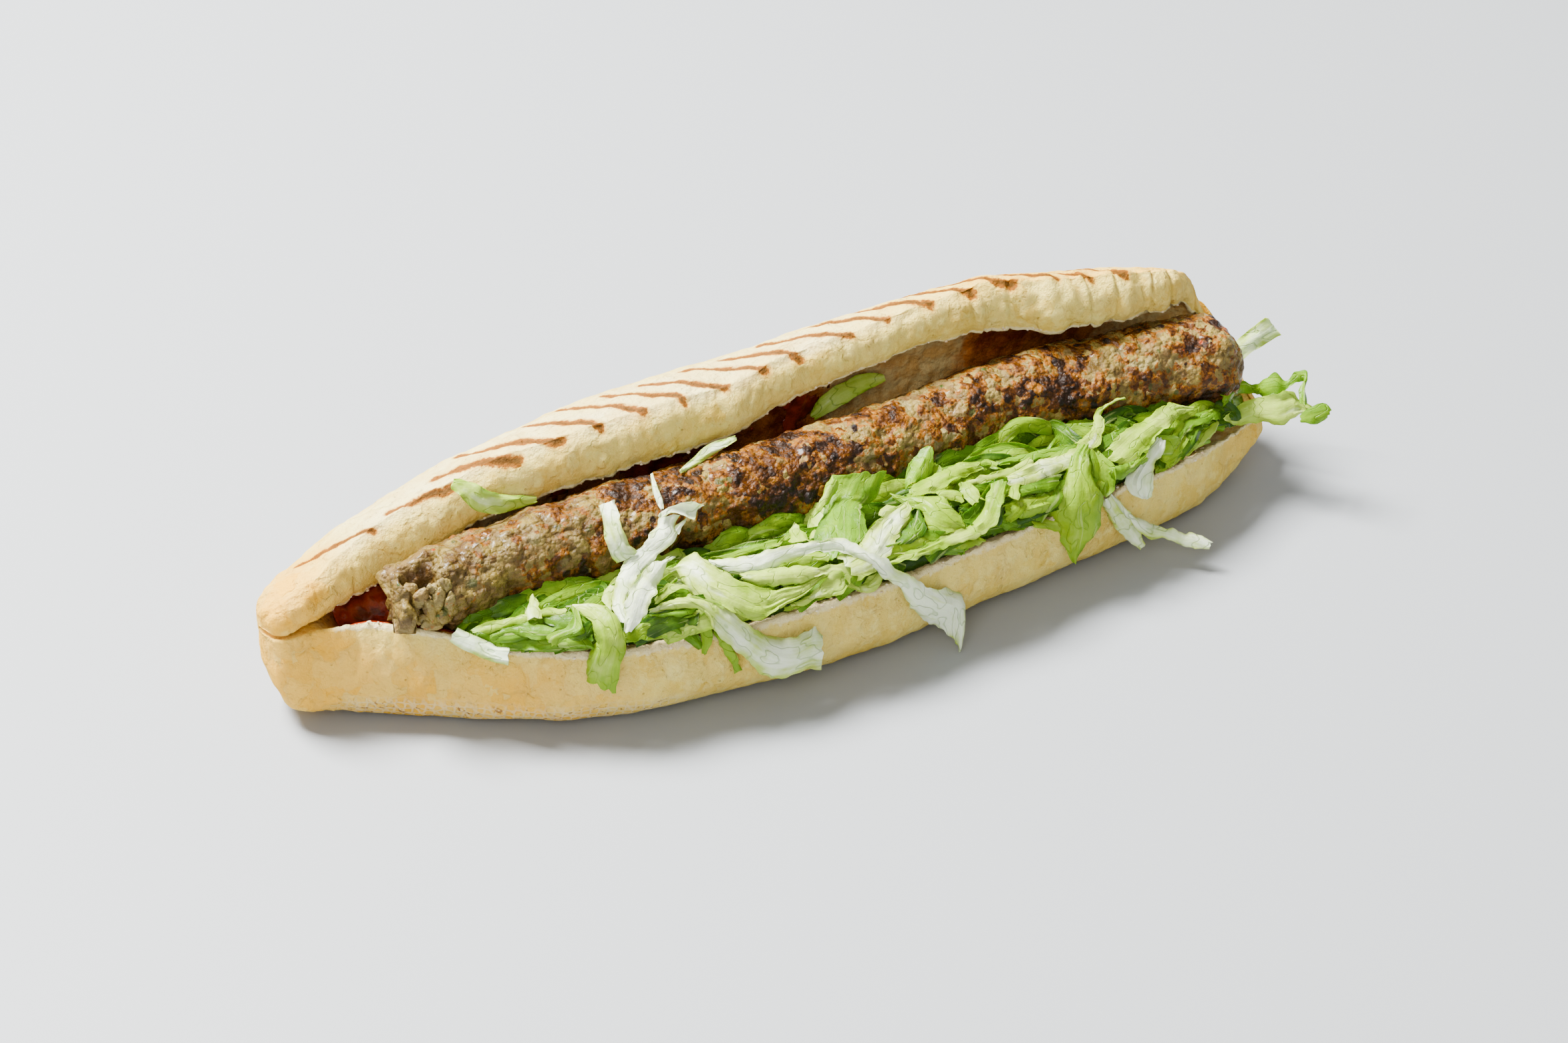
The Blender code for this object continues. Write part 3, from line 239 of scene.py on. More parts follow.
     -11, 31, -21, 14, -7, -5, -11, 33, -11, 6, 2, 7, 12, 17, -16, -21, 7, 15, 25, 32, -25, -20, -2, 20, 23)),
    (0.62, 0.55, 0.12, (1157, -89, 285, 3, -16, -20, 54, 42, 1, -4, -7, -11, 50, 8, -10, -10, 9, 5, 11, -31, 1, 6, 2,
     6, 10, -29, 36, -10, -10, -19, 18, -17, 20, 3, -6, -7, 17, -20, -16, 2, 16, 23, 28, 1, 17, 6, -3, 1, 23, -14, 5,
     -8, 2, -3, -17, -30, -27, -5, 20, 24, -21, -36, -22, 2, -1, 1)),
    (0.64, 0.6, 0.12, (1310, -223, 268, -1, -11, -16, 34, -2, 15, -5, -12, -18, 32, -11, 7, -12, 3, -4, 7, -14, -12, 8,
     13, 22)),
    ((0.52, 0.48, 0.44, 0.5, 0.46, 0.5), 0.55, 0.14, (687, -217, 338, 25, -14, -4, -37, -24, -7, 17, -5, 4, -28, -28,
     -20, 14, -8, -2, -29, -18, -32, 31, -7, 10, -24, -3, -29, 33, -13, 2, -10, -5, -35, 5, -4, -2, 17, -6, -27, -23,
     -1, -16, 15, -8, -33, -36, 15, -2, 13, -15, -35, -37, 19, 2, 10, -16, -28, -23, 14, 6)),
    (0.34, 0.6, 0.12, (739, -227, 305, 40, -50, -20, 41, 15, 13, -9, -11, -10, 41, 15, 11, 5, 5, 4, 52, 17, 3, -11, 11,
     5, 51, 22, 3, 3, 6, 3, 45, 20, -2, -10, 7, 2, 29, 15, -8, 0, 0, 0, 53, -12, -17, -18, 22, 10)),
    (0.56, 0.55, -0.16, (703, -241, 336, 26, -17, -7, -13, -20, -17, 26, -14, -3, -5, -14, -30, 1, -4, -4, 8, -13, -29,
     -12, 11, 6, 10, -13, -21, -30, 18, 6)),
    (0.6, 0.6, 0.2, (722, -290, 308, 2, -16, -20, 37, 7, -7, -8, -4, -11, 41, 10, -9, 2, 8, 13, 45, 20, 2, 12, -2, 4)),
    (0.0, 0.7, 0.08, (904, -214, 303, 18, -14, -7, -27, -16, -18, 14, -3, 3, -32, -9, -26, 2, -1, 1, -35, -3, -29, 24,
     -11, 0, -10, -5, -20, 9, -1, 3, 16, -8, -20, -21, 6, -5, 33, -7, -21, -35, 17, 3)),
    (0.06, 0.6, 0.12, (749, -279, 222, -10, -5, -13, 27, -2, -39, -2, 0, 0, 30, -2, -37, 2, -3, -3, 29, -5, -21, -3,
     -7, -12, 23, -14, -11, 0, -3, -4, 20, -16, -8, 4, 7, 12, 21, -9, -4, -1, -3, -5, 24, -15, -10, 2, -2, -1, 19, -8,
     2, 4, -6, -5, 38, -37, -16, -9, 17, 15)),
    (0.08, 0.6, 0.16, (717, -290, 217, 21, -4, 9, 2, 3, -21, 11, -5, -1, 18, -3, -33, 0, 0, -1, 21, 1, -41, 4, 4, 8,
     26, 0, -33, -2, 2, 3, 17, -7, -22, -5, -5, -10, 19, -16, -13, -15, 8, 2)),
    ((0.22, 0.18, 0.28, 0.32, 0.3, 0.34), 0.55, 0.12, (-405, -272, 328, -1, -5, -3, 24, -1, 20, -22, -33, -28, 23, -10,
     16, -21, -29, -25, 16, -35, -8, 1, 3, 3, 24, -35, -11, 8, 2, 2, 19, -20, -11, 6, -5, 0, 21, -16, -11, 3, 1, 0, 25,
     -14, -13, 4, 6, 6, 28, -8, -9, 5, 13, 10, 36, 0, -1, 1, 11, 8, 39, -1, -4, -6, 11, 5, 36, 7, 3, -4, 3, 0, 29, 4,
     0, 11, 12, 12, 25, 4, -2, 12, 6, 7)),
    ((0.2, 0.22, 0.12, 0.1, 0.06, 0.04), 0.6, 0.12, (-511, -374, 304, 0, -5, -7, 28, -1, 12, 1, -6, -8, 29, -5, 7, 2,
     -3, -2, 29, -10, 3, 2, -3, -4, 26, -11, -2, -5, -3, -6, 23, -10, -7, -12, -4, -12, 23, -9, -14, -17, 0, -12, 22,
     -6, -18, 0, -6, -9, 21, -8, -29, 2, -2, 1, 23, -4, -25, 2, -2, -3, 35, -5, -25, -15, 1, -7, 41, -6, -24, -11, 2,
     -4, 40, 6, -5, 8, -11, -9, 41, 7, 3, 5, -2, 0, 20, 8, -8, 28, -14, -2)),
    ((0.24, 0.26, 0.3, 0.36, 0.38, 0.34, 0.5), 0.55, 0.1, (-684, -291, 307, 24, -6, 6, 19, -26, 6, 18, -4, 5, 11, -32,
     -3, 12, -3, 4, 3, -30, -13, 6, -5, -3, -1, -18, -22, 0, -4, -5, -9, 1, -18, 9, -8, -5, -10, -1, -28, 2, -4, -4,
     -5, 2, -27, -2, 4, 4, -4, 0, -36, -10, -10, -20)),
    (0.03, 1.9, 0.1, (-924, -228, 281, -24, -8, -25, 23, -21, -9, -3, -1, -3, 27, -23, -11, 0, 0, -1, 22, -19, -9, 7,
     -4, -2, 25, -11, 0, 6, -10, -7)),
    ((0.06, 0.04, 0.02, 0.02, 0.0, 0.0), 0.75, 0.12, (-318, -275, 327, 0, -7, -9, 31, -26, 11, -1, -13, -18, 35, -20,
     7, -5, -2, -6, 31, -11, 2, 3, -1, 0, 28, -1, 9, -2, -3, -6, 37, -6, 4, -5, 4, 4, 36, -7, -1, 4, 6, 10, 39, -3, -1,
     0, 2, 3, 39, -4, 1, -2, -2, -4, 28, -8, -5, -3, 1, -1, 22, -15, -9, -4, 1, -1, 15, -13, -10, 5, -4, -2, 24, -16,
     -16, -1, 3, 3, 25, -8, -18, 0, -8, -11, 19, -7, -29, -2, 11, 13, 29, 0, -17, -6, 0, -2, 25, -2, -24, -12, -1, -10,
     27, 1, -27, -11, -1, -7, 29, 6, -21, -8, -1, -8, 32, 11, -16, -10, -8, -15, 31, 8, -22, -6, 3, 0, 23, 7, -20, 1,
     -1, -1, 5, -3, -22, 10, 0, 5, -2, -11, -20, 10, 3, 11, -5, -13, -19, 10, 5, 13, -9, -12, -21, 11, 6, 14, -8, -10,
     -18, 9, 4, 12, -13, -11, -22, 13, 4, 14)),
    (0.04, 0.6, 0.1, (-526, -123, 439, 36, -4, 16, -6, -24, -2, 0, -7, -8, -8, -29, -16, 1, 4, 4, -4, -21, -19, 6, -3,
     1, 2, -15, -20, 2, -1, -1, 4, -8, -23, 5, 1, 5, 10, -2, -14, 0, 4, 4)),
    ((0.02, 0.02, 0.0, 0.04, 0.06), 0.6, 0.1, (-404, -186, 415, 44, -17, 4, -11, -11, -9, -9, -3, -9, -19, -9, -14, 21,
     -8, 2, -15, -7, -14, -4, 0, -3, -20, -3, -14, -7, 2, -1, -25, -3, -11, 4, -3, -1, -25, -16, -8, -5, 2, -2, -19,
     -26, -1, -10, 4, 0, -23, -33, -2, -4, 1, -1, -28, -46, -21, 2, 8, 13, -3, -47, -16, -8, -2, -8)),
    (0.02, 0.55, 0.1, (-343, -202, 408, 1, -1, -1, -23, -7, -9, 11, -5, 0, -20, -5, -9, 1, -5, -7)),
    (0.02, 0.55, -0.14, (-412, -197, 426, 6, -5, -3, 21, 8, 9, 6, -6, -3, 30, 0, 6, -9, -5, -14, 26, -2, 1, -8, -6,
     -13, 16, -2, -6, -5, 3, 1, 21, -6, -10, -2, 23, 29)),
    ((0.04, 0.04, 0.08, 0.06, 0.0), 0.6, 0.16, (-402, -243, 340, 12, -7, -4, -30, -21, 10, -5, -2, -5, -30, -18, 16, 4,
     -18, -21, -33, -26, 1, 3, -5, -4, -29, -21, -1, 20, -4, 6, -24, -20, -10, 5, 4, 8, -19, -19, -17, 1, 1, 1, -8,
     -19, -23, -10, 11, 10, -13, -19, -30, -14, 12, 9)),
)
# Shreds that lie apart: node, green, share of the width in the part, then x, y, z and width in tenths of a mm
LONE_SHREDS = (
    ("leaf_on_lid", 0.26, 1.0, (-828, 39, 489, 25, -801, 14, 481, 45, -776, -5, 456, 55, -726, -8, 433, 44, -678, -4,
     424, 30, -638, -2, 418, 15)),
    ("shred_on_kebab", 0.12, 0.66, (-296, -60, 438, 15, -248, -27, 430, 30, -206, -13, 443, 40, -164, -6, 448, 34,
     -130, -4, 453, 16)),
    ("leaf_under_lid", 0.26, 0.9, (158, 184, 330, 25, 195, 177, 361, 50, 243, 176, 384, 54, 302, 179, 396, 46, 355,
     186, 392, 22)),
    ("sliver_on_kebab", 0.03, 0.6, (-369, -57, 446, 9, -383, -109, 445, 24, -384, -138, 428, 26, -385, -154, 414,
     16)),
    ("shred_behind_end", 0.08, 0.85, (1250, 60, 230, 40, 1310, 75, 290, 55, 1375, 30, 370, 70)),
)

# Within this distance of the CAD part's box, points are drawn inwards
BOX_MARGIN = 0.0005

# Grill marks on the lid, in plan: right end x, y and left end x, y, in mm
GRILL_MARKS = (
    (-102.2, 4.5, -119.8, 8.0), (-82.4, 5.2, -97.0, 7.9), (-66.1, 4.1, -84.0, 12.1), (-55.2, 4.6, -76.0, 17.0),
    (-45.1, 5.2, -60.6, 20.6), (-34.0, 6.0, -48.7, 22.4), (-23.4, 6.3, -37.2, 20.8), (-12.1, 8.0, -27.5, 21.0),
    (-0.7, 10.1, -16.0, 22.8), (9.2, 11.2, -5.6, 23.0), (23.1, 12.7, 5.2, 24.3), (33.9, 15.0, 16.9, 28.5),
    (45.9, 15.4, 29.1, 28.6), (57.5, 15.3, 42.7, 29.6), (67.4, 13.7, 55.0, 26.8), (78.6, 12.2, 66.0, 24.5),
    (88.8, 11.9, 76.5, 24.0), (98.3, 12.1, 86.0, 23.5),
)
MARK_HALF_WIDTH = 0.00165

# Spots on the kebab: x in mm, angle round its axis in degrees from the back, radius in mm
BROWN_SPOTS = (
    -46, 99, 4.4, -39, 109, 5.2, -29, 106, 4.6, -16, 100, 3.8, -26, 167, 4.1, -8, 159, 6.6, 2, 143, 6.6, -35, 188,
    3.8, -64, 176, 6.0, -72, 190, 5.5, -54, 206, 3.3, -73, 121, 1.6, 0, 102, 6.0, 6, 113, 5.2, 11, 135, 5.2, 23, 145,
    4.4, -1, 155, 6.0, -10, 170, 4.9, 42, 113, 3.8, 56, 140, 5.2, 73, 159, 6.6, 61, 184, 5.2, 42, 171, 3.3, 49, 166,
    2.5, 45, 197, 3.3, 77, 185, 3.8, 112, 123, 3.9, 113, 91, 2.9, 109, 79, 3.4, 98, 87, 2.9, 90, 87, 3.4, 80, 105,
    2.9, 75, 102, 2.9, 94, 119, 1.6, 75, 135, 3.9, 82, 159, 5.3, 70, 150, 4.8, 96, 175, 2.9, 120, 90, 2.9, 105, 177,
    2.9, 112, 196, 2.9, -70, 79, 3.4, -75, 120, 1.6, -73, 163, 3.1, -82, 196, 2.9, -85, 80, 3.0, 20, 84, 4.0, 64, 80,
    4.0, 30, 200, 4.0, 10, 200, 5.0, -20, 205, 5.0, 85, 205, 4.0, 50, 95, 3.0, -60, 86, 3.0,
)
BLACK_SPOTS = (
    -43, 104, 0.9, -47, 103, 1.2, -29, 105, 1.9, -33, 86, 0.9, -16, 94, 1.4, -41, 139, 1.4, -46, 157, 1.4, -9, 166,
    2.2, 0, 162, 1.6, -1, 169, 1.4, -5, 153, 1.4, -10, 175, 1.6, -47, 129, 0.9, -60, 176, 1.6, -66, 201, 1.9, -62,
    202, 1.4, -69, 211, 1.9, -13, 191, 1.1, -75, 202, 1.6, 16, 100, 1.5, 9, 103, 1.5, 8, 127, 1.5, 12, 139, 1.2, 22,
    175, 1.0, -1, 93, 0.9, -4, 81, 1.3, 14, 129, 1.5, 58, 135, 1.9, 72, 158, 1.1, 80, 165, 1.1, 61, 188, 1.9, 61, 207,
    1.5, 110, 129, 2.1, 107, 148, 0.7, 113, 152, 0.5, 90, 87, 1.6, 74, 104, 1.3, 80, 168, 1.2, 83, 81, 1.3, 79, 185,
    1.3, 90, 196, 1.1, -64, 171, 1.4, -72, 185, 1.3, 121, 80, 2.0, 100, 80, 1.4, 106, 84, 1.2,
)
HERB_SPOTS = (
    -22, 117, 2.0, -19, 119, 1.3, -17, 186, 1.9, -64, 113, 0.9, -57, 129, 1.0, -62, 189, 1.0, 47, 136, 1.4, 41, 173,
    0.8, 97, 109, 0.9, 102, 149, 1.1, 96, 160, 1.3, 92, 163, 0.8, 103, 174, 1.1, 101, 124, 0.8, -87, 70, 0.9, -80, 97,
    0.9, -63, 115, 1.1, -56, 126, 0.9, -87, 150, 1.7,
)
ONION_SPOTS = (
    -70, 119, 1.9, -51, 133, 1.5, -13, 141, 2.4, -64, 157, 1.1, 31, 96, 3.3, 17, 138, 2.2, 40, 147, 2.5, 35, 153, 3.0,
    58, 151, 2.0, 80, 144, 2.4, 92, 110, 2.9, 93, 139, 3.6, 85, 145, 2.2, 97, 137, 2.7, 104, 145, 1.9,
)
# How brown the kebab is along its length: x in mm, share
BROWN_COVER = (
    (-105, -0.4), (-86, -0.3), (-72, -0.18), (-60, -0.1), (-50, 0.02), (-42, 0.22), (-20, 0.26), (-8, 0.36),
    (12, 0.3), (22, 0.12), (34, 0.02), (48, 0.12), (62, 0.2), (84, 0.16), (98, 0.02), (108, 0.1), (125, 0.06),
)
# Torn flakes in the hollow of the kebab: x, y, z, then half sizes, in mm, and a turn in degrees
FLAKES = (
    (-95.6, -18.6, 33.6, 1.5, 1.1, 3.2, 20), (-97.6, -18.9, 32.2, 1.2, 1.0, 3.4, -12),
    (-99.2, -17.6, 35.4, 1.6, 1.2, 2.2, 30), (-94.6, -19.2, 30.2, 2.0, 1.0, 2.0, 10),
    (-97.0, -19.0, 28.6, 2.4, 1.2, 1.2, 5), (-93.4, -17.4, 37.4, 1.8, 1.4, 1.5, 40),
    (-100.4, -16.4, 32.0, 1.1, 1.4, 3.0, -8), (-98.6, -18.0, 29.6, 1.4, 1.1, 1.6, 50),
    (-95.8, -17.0, 36.4, 1.3, 1.1, 1.8, -35), (-93.0, -19.8, 33.4, 1.2, 1.0, 2.6, 8),
    (-101.0, -15.2, 36.2, 1.5, 1.3, 1.6, 15), (-94.2, -18.4, 35.0, 0.9, 0.9, 2.4, -28),
)
FLAKE_SCALE = 1.2
LOOSE_CRUMBS = 150

CAMERA_AT = (-0.30938, -0.67846, 0.52126)
LOOKS_AT = (0.01307, 0.02909, -0.004)
LIGHTS_AIM = (0, 0, 0.02)

def along(profile, x):
    """Value of a profile at x, on a smooth curve that never overshoots its own pairs."""
    xs, vs = zip(*profile)
    if x <= xs[0]:
        return vs[0]
    if x >= xs[-1]:
        return vs[-1]
    i = max(k for k in range(len(xs) - 1) if xs[k] <= x)
    slopes = [(vs[k + 1] - vs[k]) / (xs[k + 1] - xs[k]) for k in range(len(xs) - 1)]

    def tangent(k):
        if k == 0 or k == len(xs) - 1:
            return slopes[min(k, len(slopes) - 1)]
        if slopes[k - 1] * slopes[k] <= 0:
            return 0.0
        return 2 * slopes[k - 1] * slopes[k] / (slopes[k - 1] + slopes[k])

    h = xs[i + 1] - xs[i]
    t = (x - xs[i]) / h
    a, b = tangent(i) * h, tangent(i + 1) * h
    rise = vs[i + 1] - vs[i]
    return vs[i] + a * t + (3 * rise - 2 * a - b) * t**2 + (a + b - 2 * rise) * t**3


def mix(a, b, t):
    return a + (b - a) * t


def ramp(value, low, high):
    """0 below low, 1 above high, smooth between. low may be the larger of the two."""
    t = np.clip((value - low) / (high - low), 0, 1)
    return t * t * (3 - 2 * t)


def spline(points, steps):
    """Catmull-Rom curve through points, with steps samples for each span, ends included, as an array."""
    rows = np.array(points, float)
    rows = np.vstack([2 * rows[0] - rows[1], rows, 2 * rows[-1] - rows[-2]])
    t = (np.arange(steps) / steps)[:, None]
    made = []
    for i in range(1, len(rows) - 2):
        p0, p1, p2, p3 = rows[i - 1 : i + 3]
        made.append(0.5 * (2 * p1 + (p2 - p0) * t + (2 * p0 - 5 * p1 + 4 * p2 - p3) * t**2
                           + (3 * p1 - p0 - 3 * p2 + p3) * t**3))
    return np.vstack(made + [rows[-2][None]])


def run_along(points):
    """Distance along a line of points, at each of them."""
    return np.concatenate([[0], np.cumsum(np.linalg.norm(np.diff(points, axis=0), axis=1))])


def even(points, count):
    """count points, evenly spaced along the spline through points, its last point left out."""
    fine = spline(points, 12)
    run = run_along(fine)
    want = np.linspace(0, run[-1], count + 1)[:-1]
    return np.stack([np.interp(want, run, column) for column in fine.T], axis=1)


def roll_section(x):
    """The roll's section at x in six stretches: lower crust, mouth floor, mouth roof, lid edge, lid top, back."""
    front, back, base, mouth, thick, rear_z, lip_z, edge_y, edge_z = (along(profile, x) for profile in (
        FRONT_Y, BACK_Y, BASE_Z, MOUTH, LID_THICK, REAR_Z, LIP_Z, EDGE_Y, EDGE_Z))
    lip_y = min(max(along(LIP_Y, x), front + 0.0003), edge_y - 0.0003)
    deep_y = max(along(DEEP_Y, x), lip_y + 0.0008)
    deep_z = mix((lip_z + edge_z) / 2, mix(edge_z, FLOOR_Z, 0.55), mouth)
    floor = min(FLOOR_Z, lip_z - 0.0015)
    width = back - front
    shoulder_y, shoulder_z = edge_y + 0.3 * thick, edge_z + thick
    rear_y = back - min(0.003, 0.12 * width)
    crown = rear_y - shoulder_y
    drop = shoulder_z - rear_z
    stretches = (
        ((mix(front, back, 0.5), base), (front + 0.24 * width, base),
         (front + 0.075 * width, base + 0.09 * (lip_z - base)), (front, base + 0.44 * (lip_z - base)), (lip_y, lip_z)),
        ((lip_y, lip_z), (mix(lip_y, deep_y, 0.12), lip_z - 0.0003 - 0.001 * mouth),
         (mix(lip_y, deep_y, 0.36), mix(lip_z - 0.0004, floor + 0.0012, mouth)),
         (mix(lip_y, deep_y, 0.68), mix(mix(lip_z, deep_z, 0.4), floor - 0.0004, mouth)),
         (mix(lip_y, deep_y, 0.92), mix(mix(lip_z, deep_z, 0.7), floor + 0.0026, mouth)), (deep_y, deep_z)),
        ((deep_y, deep_z), (mix(deep_y, edge_y, 0.12), mix(deep_z, edge_z, 0.62)),
         (mix(deep_y, edge_y, 0.5), mix(deep_z, edge_z, 0.92)), (edge_y, edge_z)),
        ((edge_y, edge_z), (edge_y - 0.1 * thick, edge_z + 0.35 * thick),
         (edge_y + 0.03 * thick, edge_z + 0.75 * thick), (shoulder_y, shoulder_z)),
        ((shoulder_y, shoulder_z), (shoulder_y + 0.3 * crown, shoulder_z - 0.14 * drop),
         (shoulder_y + 0.66 * crown, shoulder_z - 0.46 * drop), (rear_y, rear_z)),
        ((rear_y, rear_z), (back, base + 0.56 * (rear_z - base)), (back - 0.03 * width, base + 0.18 * (rear_z - base)),
         (back - 0.14 * width, base), (mix(front, back, 0.5), base)),
    )
    return np.vstack([even(s, c) for s, c in zip(stretches, COUNTS)])


def crowded(count, low, high, share):
    """Stations from low to high that crowd together at both ends, where the shape turns."""
    t = np.linspace(0, 1, count)
    return low + (high - low) * mix(t, 0.5 - 0.5 * np.cos(np.pi * t), share)


def circle(count):
    """Angles round a circle, with their cosines and sines."""
    angle = 2 * np.pi * np.arange(count) / count
    return angle, np.cos(angle), np.sin(angle)


def rough(points, size, seed=0.0):
    """Smooth noise at each point, from about -1 to 1, with features about size across."""
    return np.array([noise.noise(p) for p in (np.asarray(points) / size + seed).tolist()])


def cells(points, size, seed=0.0):
    """Distance to the nearest and to the second nearest of scattered points about size apart, in sizes."""
    found = [noise.voronoi(p)[0] for p in (np.asarray(points) / size + seed).tolist()]
    return np.array([f[0] for f in found]), np.array([f[1] for f in found])


def unit(vectors, least):
    return vectors / np.maximum(np.linalg.norm(vectors, axis=-1, keepdims=True), least)


def grid_normals(grid):
    """Normals of a grid of rings whose points run round and meet, as a list."""
    around = np.roll(grid, -1, axis=1) - np.roll(grid, 1, axis=1)
    return unit(np.cross(np.gradient(grid, axis=0), around), 1e-12).reshape(-1, 3)


def make_object(name, verts, faces, attributes=None, smooth=True, crease=None):
    mesh = bpy.data.meshes.new(name)
    mesh.from_pydata([tuple(v) for v in np.asarray(verts).tolist()], [], faces)
    mesh.validate()
    for key, values in (attributes or {}).items():
        mesh.attributes.new(key, "FLOAT", "POINT").data.foreach_set("value", np.asarray(values, np.float32).ravel())
    if smooth:
        mesh.shade_smooth()
    if crease:
        mesh.set_sharp_from_angle(angle=math.radians(crease))
    return link(name, mesh)


def link(name, data):
    made = bpy.data.objects.new(name, data)
    bpy.context.scene.collection.objects.link(made)
    return made


def tube(grid, flip=False):
    """Points and faces of a closed tube of rings, whose caps are fans round added middle points."""
    rings, around = grid.shape[:2]
    i = np.arange(rings - 1)[:, None] * around
    j = np.arange(around)[None, :]
    k = (j + 1) % around
    faces = np.stack([i + j, i + around + j, i + around + k, i + k], axis=2).reshape(-1, 4).tolist()
    low, high, last = rings * around, rings * around + 1, (rings - 1) * around
    for a in range(around):
        b = (a + 1) % around
        faces += [[low, a, b], [high, last + b, last + a]]
    points = np.vstack([grid.reshape(-1, 3), grid[0].mean(0), grid[-1].mean(0)])
    return points, [f[::-1] for f in faces] if flip else faces


def capped(values):
    """Adds to each value of a tube's points those of its two caps."""
    return {key: np.concatenate([value, [value[0], value[-1]]]) for key, value in values.items()}


class Look:
    """A material, with short ways to build its nodes."""

    def __init__(self, name, colour, roughness, **inputs):
        self.material = bpy.data.materials.new(name)
        self.material.use_nodes = True
        self.tree = self.material.node_tree
        self.shader = self.tree.nodes["Principled BSDF"]
        self.set(self.shader, {"Base Color": (*colour, 1), "Roughness": roughness})
        self.set(self.shader, {key.replace("_", " "): value for key, value in inputs.items()})
        self.colour = None

    def set(self, node, values):
        for key, value in values.items():
            if isinstance(value, bpy.types.NodeSocket):
                self.tree.links.new(value, node.inputs[key])
            else:
                node.inputs[key].default_value = value

    def add(self, kind, values, **settings):
        made = self.tree.nodes.new("ShaderNode" + kind)
        for key, value in settings.items():
            setattr(made, key, value)
        self.set(made, values)
        return made.outputs

    def place(self, stretch=None):
        coords = self.add("TexCoord", {})["Object"]
        return self.add("Mapping", {"Vector": coords, "Scale": stretch})[0] if stretch else coords

    def grain(self, size, detail, stretch=None, roughness=0.55):
        """Noise with features about size across, in metres."""
        return self.add("TexNoise", {"Vector": self.place(stretch), "Scale": 1 / size, "Detail": detail,
                                     "Roughness": roughness})["Fac"]

    def cell(self, size, where=None, feature="F1", randomness=1.0):
        """Cells about size across: distance and colour."""
        return self.add("TexVoronoi", {"Vector": where or self.place(), "Scale": 1 / size, "Randomness": randomness},
                        feature=feature)

    def parts(self, colour):
        return self.add("SeparateColor", {0: colour})

    def named(self, name):
        """One of the mesh's own attributes."""
        return self.add("Attribute", {}, attribute_name=name)["Fac"]

    def maths(self, operation, *values):
        return self.add("Math", dict(enumerate(values)), operation=operation)[0]

    def times(self, a, b):
        return self.maths("MULTIPLY", a, b)

    def plus(self, a, b):
        return self.maths("ADD", a, b)

    def scaled(self, a, scale, shift):
        return self.maths("MULTIPLY_ADD", a, scale, shift)

    def between(self, value, low, high):
        """0 to 1 as value goes from low to high."""
        return self.add("MapRange", {"Value": value, "From Min": low, "From Max": high},
                        interpolation_type="SMOOTHSTEP")[0]

    def blend(self, factor, a, b):
        a, b = ((*end, 1) if isinstance(end, tuple) else end for end in (a, b))
        return self.add("Mix", {0: factor, 6: a, 7: b}, data_type="RGBA")[2]

    def tint(self, factor, colour, share=None):
        """Moves the base colour towards another, by a factor and a share of it."""
        self.colour = self.blend(self.times(factor, share) if share else factor, self.colour, colour)

    def warped(self, size, amount):
        """Object coordinates pushed about by noise, so that cells lose their straight edges."""
        push = self.add("TexNoise", {"Vector": self.place(), "Scale": 1 / size, "Detail": 2.0})["Color"]
        centred = self.add("VectorMath", {0: push, 1: (0.5, 0.5, 0.5)}, operation="SUBTRACT")[0]
        pushed = self.add("VectorMath", {0: centred, "Scale": amount}, operation="SCALE")[0]
        return self.add("VectorMath", {0: self.place(), 1: pushed}, operation="ADD")[0]

    def finish(self, *bumps, **inputs):
        """Sets the shader's inputs and stacks bumps on it, each as (height socket, depth in metres)."""
        normal = {}
        for height, depth in bumps:
            values = {"Height": height, "Distance": depth, "Strength": 1.0, **normal}
            normal = {"Normal": self.add("Bump", values)[0]}
        self.set(self.shader, {"Base Color": self.colour, **inputs, **normal})
        return self.material


def soft(weight, radius):
    """Inputs for light that passes under the surface, as far as the radii of red, green and blue."""
    return {"Subsurface_Weight": weight, "Subsurface_Radius": radius, "Subsurface_Scale": 1.0}


